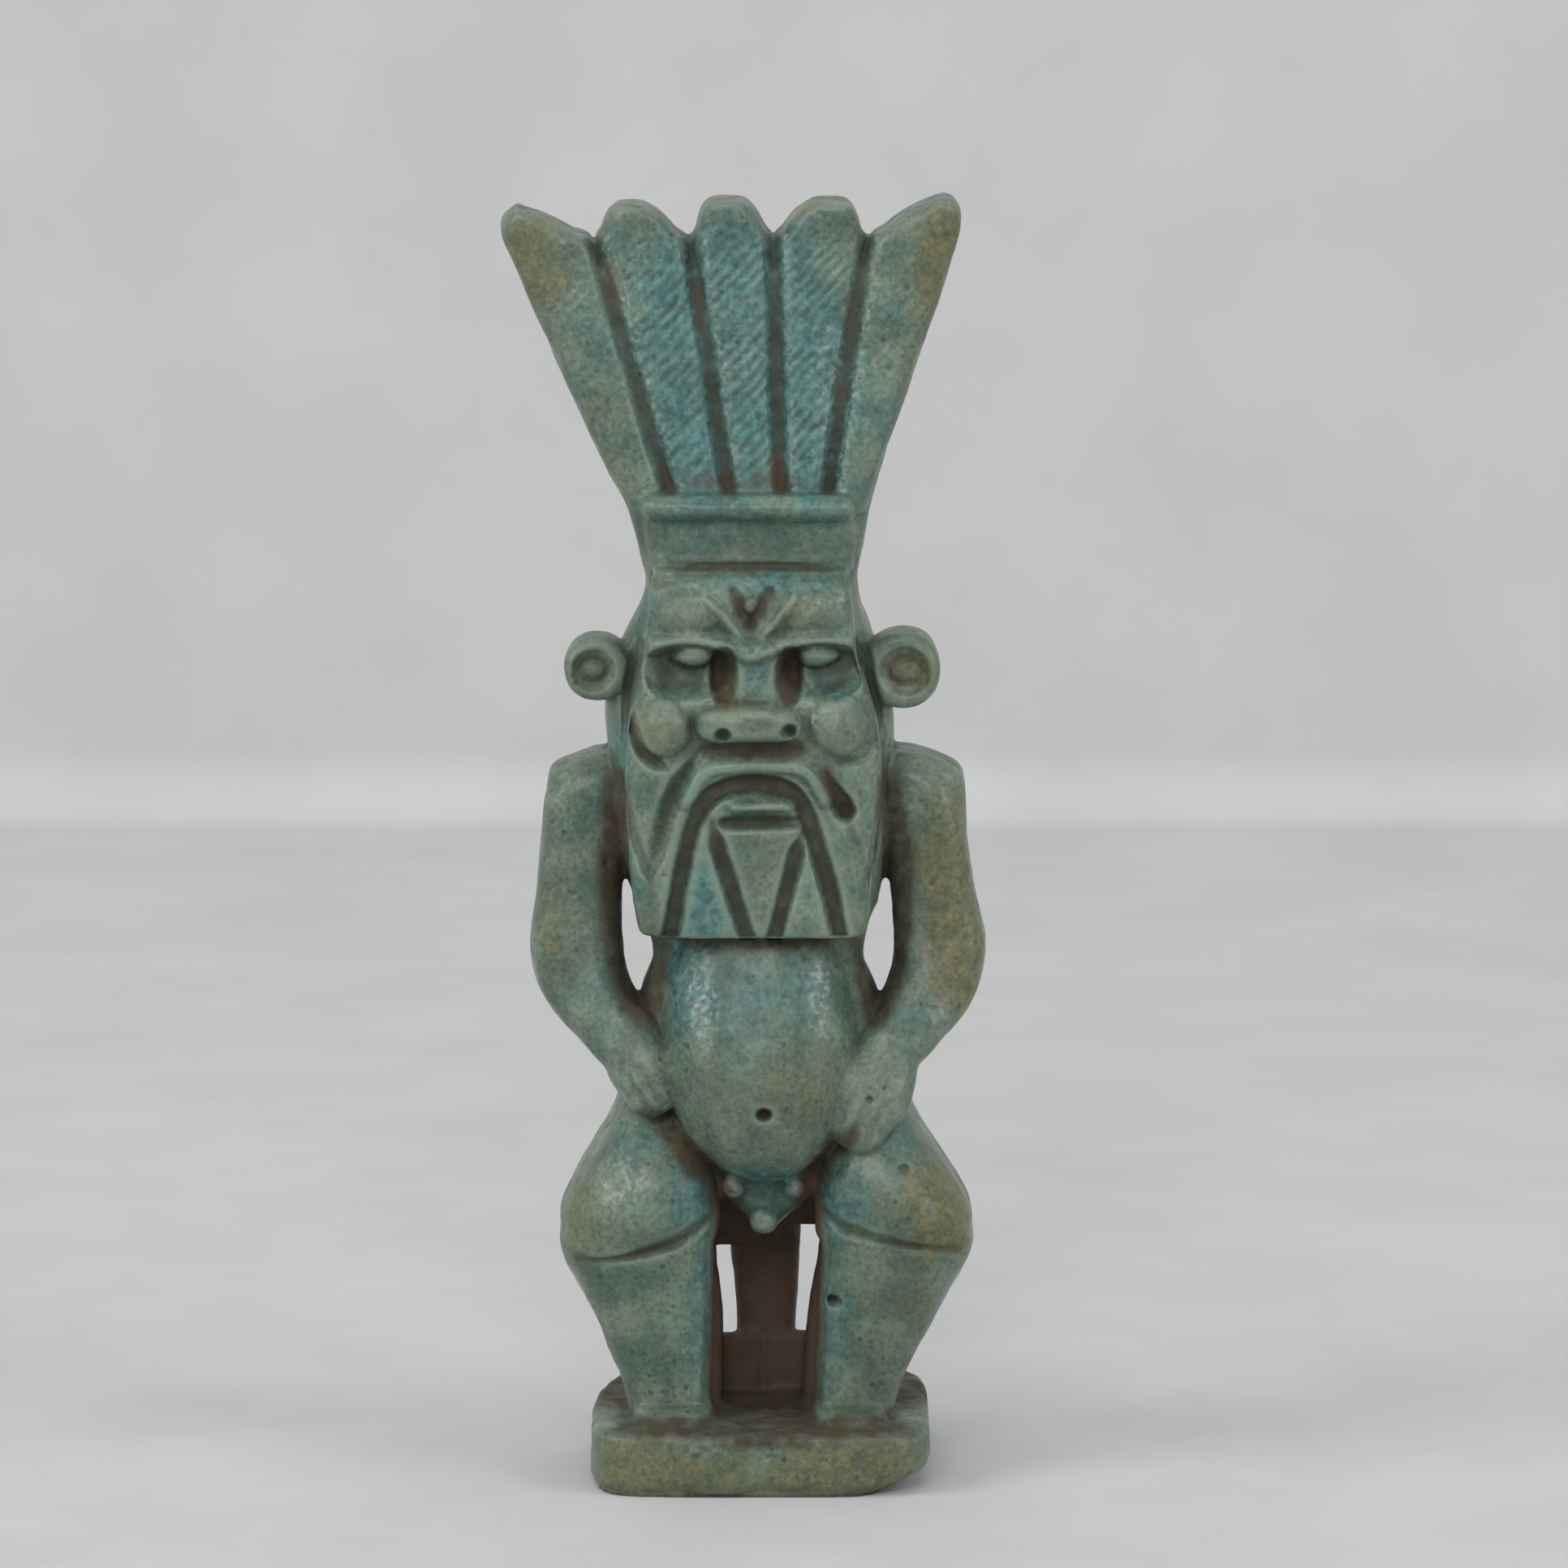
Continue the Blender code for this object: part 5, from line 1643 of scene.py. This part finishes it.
@dataclass(frozen=True)
class CardFinish:
    """The plain pale card of the floor and the backdrop."""

    pale: Colour = (0.575, 0.575, 0.575, 1.0)
    paler: Colour = (0.61, 0.61, 0.61, 1.0)
    clouds: Row = (120.0, 3.0, 0.3, 0.7)
    roughness: float = 0.9

    def material(self, mottle: Tree) -> Material:
        """The finish as a node material: faintly mottled in front, and clear from behind.

        Args:
            mottle: The mottling group.

        Returns:
            The material.
        """
        made = new_material("pale_card")
        bench = Bench(made.node_tree)
        shader = made.node_tree.nodes["Principled BSDF"]
        cloud = bench.group(mottle, bench.add("TexCoord", {}).outputs["Object"], self.clouds)
        bench.feed(shader.inputs["Base Color"], bench.blend(cloud, self.pale, self.paler))
        shader.inputs["Roughness"].default_value = self.roughness
        shader.inputs["Specular IOR Level"].default_value = 0.2
        clear = bench.add("BsdfTransparent", {})
        behind = bench.add("NewGeometry", {}).outputs["Backfacing"]
        seen = bench.add("MixShader", {0: behind, 1: shader.outputs[0], 2: clear.outputs[0]})
        bench.feed(made.node_tree.nodes["Material Output"].inputs["Surface"], seen.outputs[0])
        return made


# The whole figurine


@dataclass(frozen=True)
class Figurine:
    """The figurine as one skin over all its forms.

    Attributes:
        fineness: The voxel that the forms are pressed together with.
        rubbing: How many times the pressed skin is rubbed smooth.
        most_triangles: How many triangles the finished piece may have.
        unevenness: Rows of height, pitch and seed of the skin's uneven swells.
        plinth_unevenness: The same for what the plinth has besides.
        pits: Rows of depth, pitch, radius, share and seed of the pits.
        raggedness: Rows of height, pitch and seed of the stains' ragged edges.
        lean_heights: The heights at which the lean was measured.
        lean_offsets: How far the axis stands to the viewer's right at those heights.
    """

    fineness: float = 0.088
    rubbing: int = 13
    most_triangles: int = 194000
    unevenness: Rows = ((0.05, 1.9, 3), (0.026, 0.8, 5), (0.012, 0.32, 7))
    plinth_unevenness: Rows = ((0.07, 1.4, 9), (0.04, 0.55, 10))
    pits: Rows = ((0.1, 1.3, 0.22, 0.35, 11), (0.05, 0.6, 0.13, 0.4, 13))
    raggedness: Rows = ((0.16, 1.1, 21), (0.1, 0.45, 23))
    lean_heights: Row = (0.0, 6.7, 20.0, 27.0, 29.4, 31.6, 34.2, 38.0, 43.3)
    lean_offsets: Row = (0.0, 0.24, -0.21, -0.47, -0.30, -0.37, -0.62, -0.83, -1.10)

    def parts(self) -> list[SubAssembly]:
        """The sub-assemblies, from the ground up."""
        return [Plinth(), Legs(), Tail(), Trunk(), Arms(), Head(), Crown(), Lug()]

    def build(self, finish: Material) -> bpy.types.Object:
        """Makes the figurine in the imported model's place.

        Args:
            finish: Its material.

        Returns:
            The finished piece.
        """
        parts = self.parts()
        forms: list[Form] = []
        for part in parts:
            made = part.forms()
            log.info("%s: %d forms", type(part).__name__, len(made))
            forms += made
        pressed = modified(mesh_of(forms, "forms"), "REMESH", mode="VOXEL", voxel_size=self.fineness)
        skin = Skin(modified(pressed, "SMOOTH", factor=0.5, iterations=self.rubbing))
        log.info("pressed skin: %d points", len(skin.points))
        self.carve(skin, parts)
        self.weather(skin)
        self.stain(skin, parts)
        return self.placed(skin, finish)

    def carve(self, skin: Skin, parts: list[SubAssembly]) -> None:
        """Moves the skin that faces the viewer along Y by the relief, in full where it faces squarely.

        Args:
            skin: The pressed skin.
            parts: The sub-assemblies whose relief is carved.
        """
        x, y, z = skin.points.T
        facing = np.clip((-skin.normals[:, 1] - 0.25) / 0.35, 0, 1) * (y < -0.9) * (z > 0)
        skin.points[:, 1] -= sum(part.relief((x, z)) for part in parts) * facing
        skin.write()

    def weather(self, skin: Skin) -> None:
        """Makes the skin uneven and pits it, along its own normals.

        Args:
            skin: The carved skin.
        """
        points = skin.points
        on_plinth = eased((0.35 - points[:, 2]) / 0.3)
        uneven = layered_noise(points, self.unevenness)
        uneven += on_plinth * layered_noise(points, self.plinth_unevenness)
        pits = sum(depth * scattered(points, *scatter) for depth, *scatter in self.pits)
        standing = np.where(points[:, 2] < -PLINTH_ROWS + 0.15, 0, 1)
        skin.points = points + skin.normals * ((uneven - pits) * standing)[:, None]
        skin.write()

    def stain(self, skin: Skin, parts: list[SubAssembly]) -> None:
        """Keeps the stains with their painted shade and highlights, the hollows for painted shade and the
        ridges for a painted highlight as attributes of the skin.

        Args:
            skin: The carved and weathered skin.
            parts: The sub-assemblies whose stains it gets.
        """
        points = skin.points
        ragged = layered_noise(points, self.raggedness)
        stains = np.zeros((len(Tint), len(points)))
        for patch in [patch for part in parts for patch in part.patches()]:
            middle = np.array((patch.x, patch.front, patch.z))
            reach = np.array((patch.across, patch.depth, patch.tall))
            share = np.linalg.norm((points - middle) / reach, axis=1) + ragged
            stains[patch.tint.value] += patch.strength * eased((1.15 - share) / 0.75)
        facing = eased((0.55 - skin.normals[:, 1]) / 0.5)
        for seam in [seam for part in parts for seam in part.seams()]:
            distance, _ = from_line((points[:, 0], points[:, 2]), seam.line)
            share = distance / (seam.width / 2) + 0.9 * ragged
            within = facing * eased(0.5 + (seam.back - points[:, 1]) / 0.9)
            stains[seam.tint.value] += seam.strength * eased(1.5 * (1.1 - share)) * within
        stains = np.clip(stains, 0, 1)
        fine, wide = skin.hollowness(10), skin.hollowness(90)
        # Turquoise, yellow, and bloom with painted highlights; then earth, rust and umber with painted shade
        skin.paint("glaze_stain_and_highlight", stains[: Tint.SOIL_AND_SHADE.value])
        skin.paint("earth_stain_and_shade", stains[Tint.SOIL_AND_SHADE.value :])
        # Grooves darken as earth with painted shade, wide hollows as painted shade, and ridges pale as wear
        # with a painted highlight
        groove = eased((fine - 0.02) / 0.06) * 0.4 + 0.6 * eased((wide - 0.05) / 0.16)
        skin.paint("hollow_shade_and_ridge_highlight", [np.clip(groove, 0, 1), eased(wide / 0.25), eased((-fine - 0.01) / 0.05)])

    def lean_at(self, height: Array) -> Array:
        """The lean at each height: the mean of the measured line over 1.6 squares."""
        around = [height + step for step in (-0.8, -0.4, 0.0, 0.4, 0.8)]
        return sum(np.interp(place, self.lean_heights, self.lean_offsets) for place in around) / len(around)

    def placed(self, skin: Skin, finish: Material) -> bpy.types.Object:
        """Leans the skin, thins it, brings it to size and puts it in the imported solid's place.

        Args:
            skin: The upright skin.
            finish: Its material.

        Returns:
            The finished piece.
        """
        skin.points[:, 0] += self.lean_at(skin.points[:, 2])
        skin.points[:, 2] += PLINTH_ROWS
        skin.write()
        skin.mesh.calc_loop_triangles()
        share = min(1.0, self.most_triangles / len(skin.mesh.loop_triangles))
        thinned = Skin(modified(skin.mesh, "DECIMATE", ratio=share, use_collapse_triangulate=True))
        lowest, highest = (np.array(corner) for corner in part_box("figurine"))
        square = (highest[2] - lowest[2]) / (FIGURE_ROWS + PLINTH_ROWS)
        resting = (thinned.points[:, 2] < 0.12) & (thinned.normals[:, 2] < -0.6)
        thinned.points[resting, 2] = 0.0
        thinned.points = np.clip(thinned.points * square, lowest, highest)
        thinned.write()
        thinned.mesh.name = "glazed_figurine"
        thinned.mesh.shade_smooth()
        thinned.mesh.materials.clear()
        thinned.mesh.materials.append(finish)
        piece = put_in_scene("glazed_figurine", thinned.mesh)
        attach(piece, "root")
        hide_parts("figurine")
        return piece


@dataclass(frozen=True)
class Softbox:
    """A soft rectangular light.

    Attributes:
        name: The light's name.
        place: Where it stands, in metres.
        size: Its width and height.
        watts: Its power.
        tone: Its colour.
    """

    name: str
    place: tuple[float, float, float]
    size: tuple[float, float]
    watts: float
    tone: tuple[float, float, float] = (1.0, 1.0, 1.0)


@dataclass(frozen=True)
class Studio:
    """The pale floor that bends up into a backdrop, the soft lights and the camera."""

    half_width: float = 0.9
    near_edge: float = -0.7
    bend: float = 0.131
    bend_radius: float = 0.003
    top: float = 0.9
    aim: tuple[float, float, float] = (0.00083, -0.003, 0.02512)
    distance: float = 0.45
    rise: float = 10.0
    pixels: int = 1932
    pixels_per_millimetre: float = 35.0
    sensor: float = 36.0
    air: Colour = (0.95, 0.97, 1.0, 1.0)
    air_strength: float = 0.36
    lights: tuple[Softbox, ...] = (
        Softbox("left_softbox", (-0.42, -0.20, 0.30), (0.26, 0.34), 1.05, (1.0, 0.98, 0.95)),
        Softbox("right_softbox", (0.42, -0.22, 0.26), (0.24, 0.32), 0.8, (0.97, 0.98, 1.0)),
        Softbox("front_softbox", (-0.05, -0.48, 0.34), (0.30, 0.22), 0.9),
        Softbox("top_softbox", (0.0, -0.05, 0.55), (0.40, 0.30), 0.45),
    )

    def backdrop(self, finish: Material) -> bpy.types.Object:
        """The floor and backdrop: a line along the floor, a quarter circle and a line up, carried along X.

        Args:
            finish: Its material.

        Returns:
            The stage piece.
        """
        turn = np.linspace(0, np.pi / 2, 24)
        y = self.bend - self.bend_radius + self.bend_radius * np.sin(turn)
        z = self.bend_radius * (1 - np.cos(turn))
        profile = np.concatenate([[(self.near_edge, 0.0)], np.stack([y, z], axis=1), [(self.bend, self.top)]])
        sides = np.array((-self.half_width, self.half_width))
        points = np.column_stack([np.tile(sides, len(profile)), np.repeat(profile, 2, axis=0)])
        start = 2 * np.arange(len(profile) - 1)[:, None]
        mesh = bpy.data.meshes.new("backdrop")
        mesh.from_pydata(points.tolist(), [], (start + np.array((0, 1, 3, 2))).tolist())
        mesh.shade_smooth()
        mesh.materials.append(finish)
        stage = put_in_scene("backdrop", mesh)
        return stage

    def aimed(self, holder: bpy.types.Object, place: Vector) -> None:
        """Puts a light or the camera at its place and turns it to the figurine.

        Args:
            holder: The light or the camera.
            place: Where it stands, in metres.
        """
        holder.location = place
        holder.rotation_mode = "QUATERNION"
        holder.rotation_quaternion = (Vector(self.aim) - place).to_track_quat("-Z", "Y")

    def light(self) -> None:
        """Puts up the soft lights, each turned to the figurine, and the pale air around them."""
        for box in self.lights:
            lamp = bpy.data.lights.new(box.name, "AREA")
            lamp.shape = "RECTANGLE"
            lamp.size, lamp.size_y = box.size
            lamp.energy = box.watts
            lamp.color = box.tone
            self.aimed(put_in_scene(box.name, lamp), Vector(box.place))
        world = bpy.data.worlds.new("pale_air")
        world.use_nodes = True
        background = world.node_tree.nodes["Background"]
        background.inputs["Color"].default_value = self.air
        background.inputs["Strength"].default_value = self.air_strength
        bpy.context.scene.world = world
        bpy.context.scene.view_settings.view_transform = "Standard"

    def camera(self) -> bpy.types.Object:
        """The camera, at the photograph's height and distance, with its frame's width on the sensor's.

        Returns:
            The camera.
        """
        lens = bpy.data.cameras.new("camera")
        frame_width = self.pixels / self.pixels_per_millimetre / 1000
        lens.sensor_width = self.sensor
        lens.lens = self.sensor * self.distance / frame_width
        lens.clip_start, lens.clip_end = 0.01, 10.0
        turn = math.radians(self.rise)
        forward = Vector((0.0, math.cos(turn), -math.sin(turn)))
        camera = put_in_scene("camera", lens)
        self.aimed(camera, Vector(self.aim) - forward * self.distance)
        bpy.context.scene.camera = camera
        return camera


def main() -> None:
    """Builds the scene piece by piece."""
    logging.basicConfig(level=logging.INFO, format="%(name)s: %(message)s")
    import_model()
    mottle, speckle = mottle_group(), speckle_group()
    piece = Figurine().build(FaienceFinish().material(mottle, speckle))
    log.info("%s: %d faces", piece.name, len(piece.data.polygons))
    studio = Studio()
    stage = studio.backdrop(CardFinish().material(mottle))
    log.info("%s: %d faces", stage.name, len(stage.data.polygons))
    studio.light()
    log.info("%s set up", studio.camera().name)


if __name__ == "__main__":
    main()
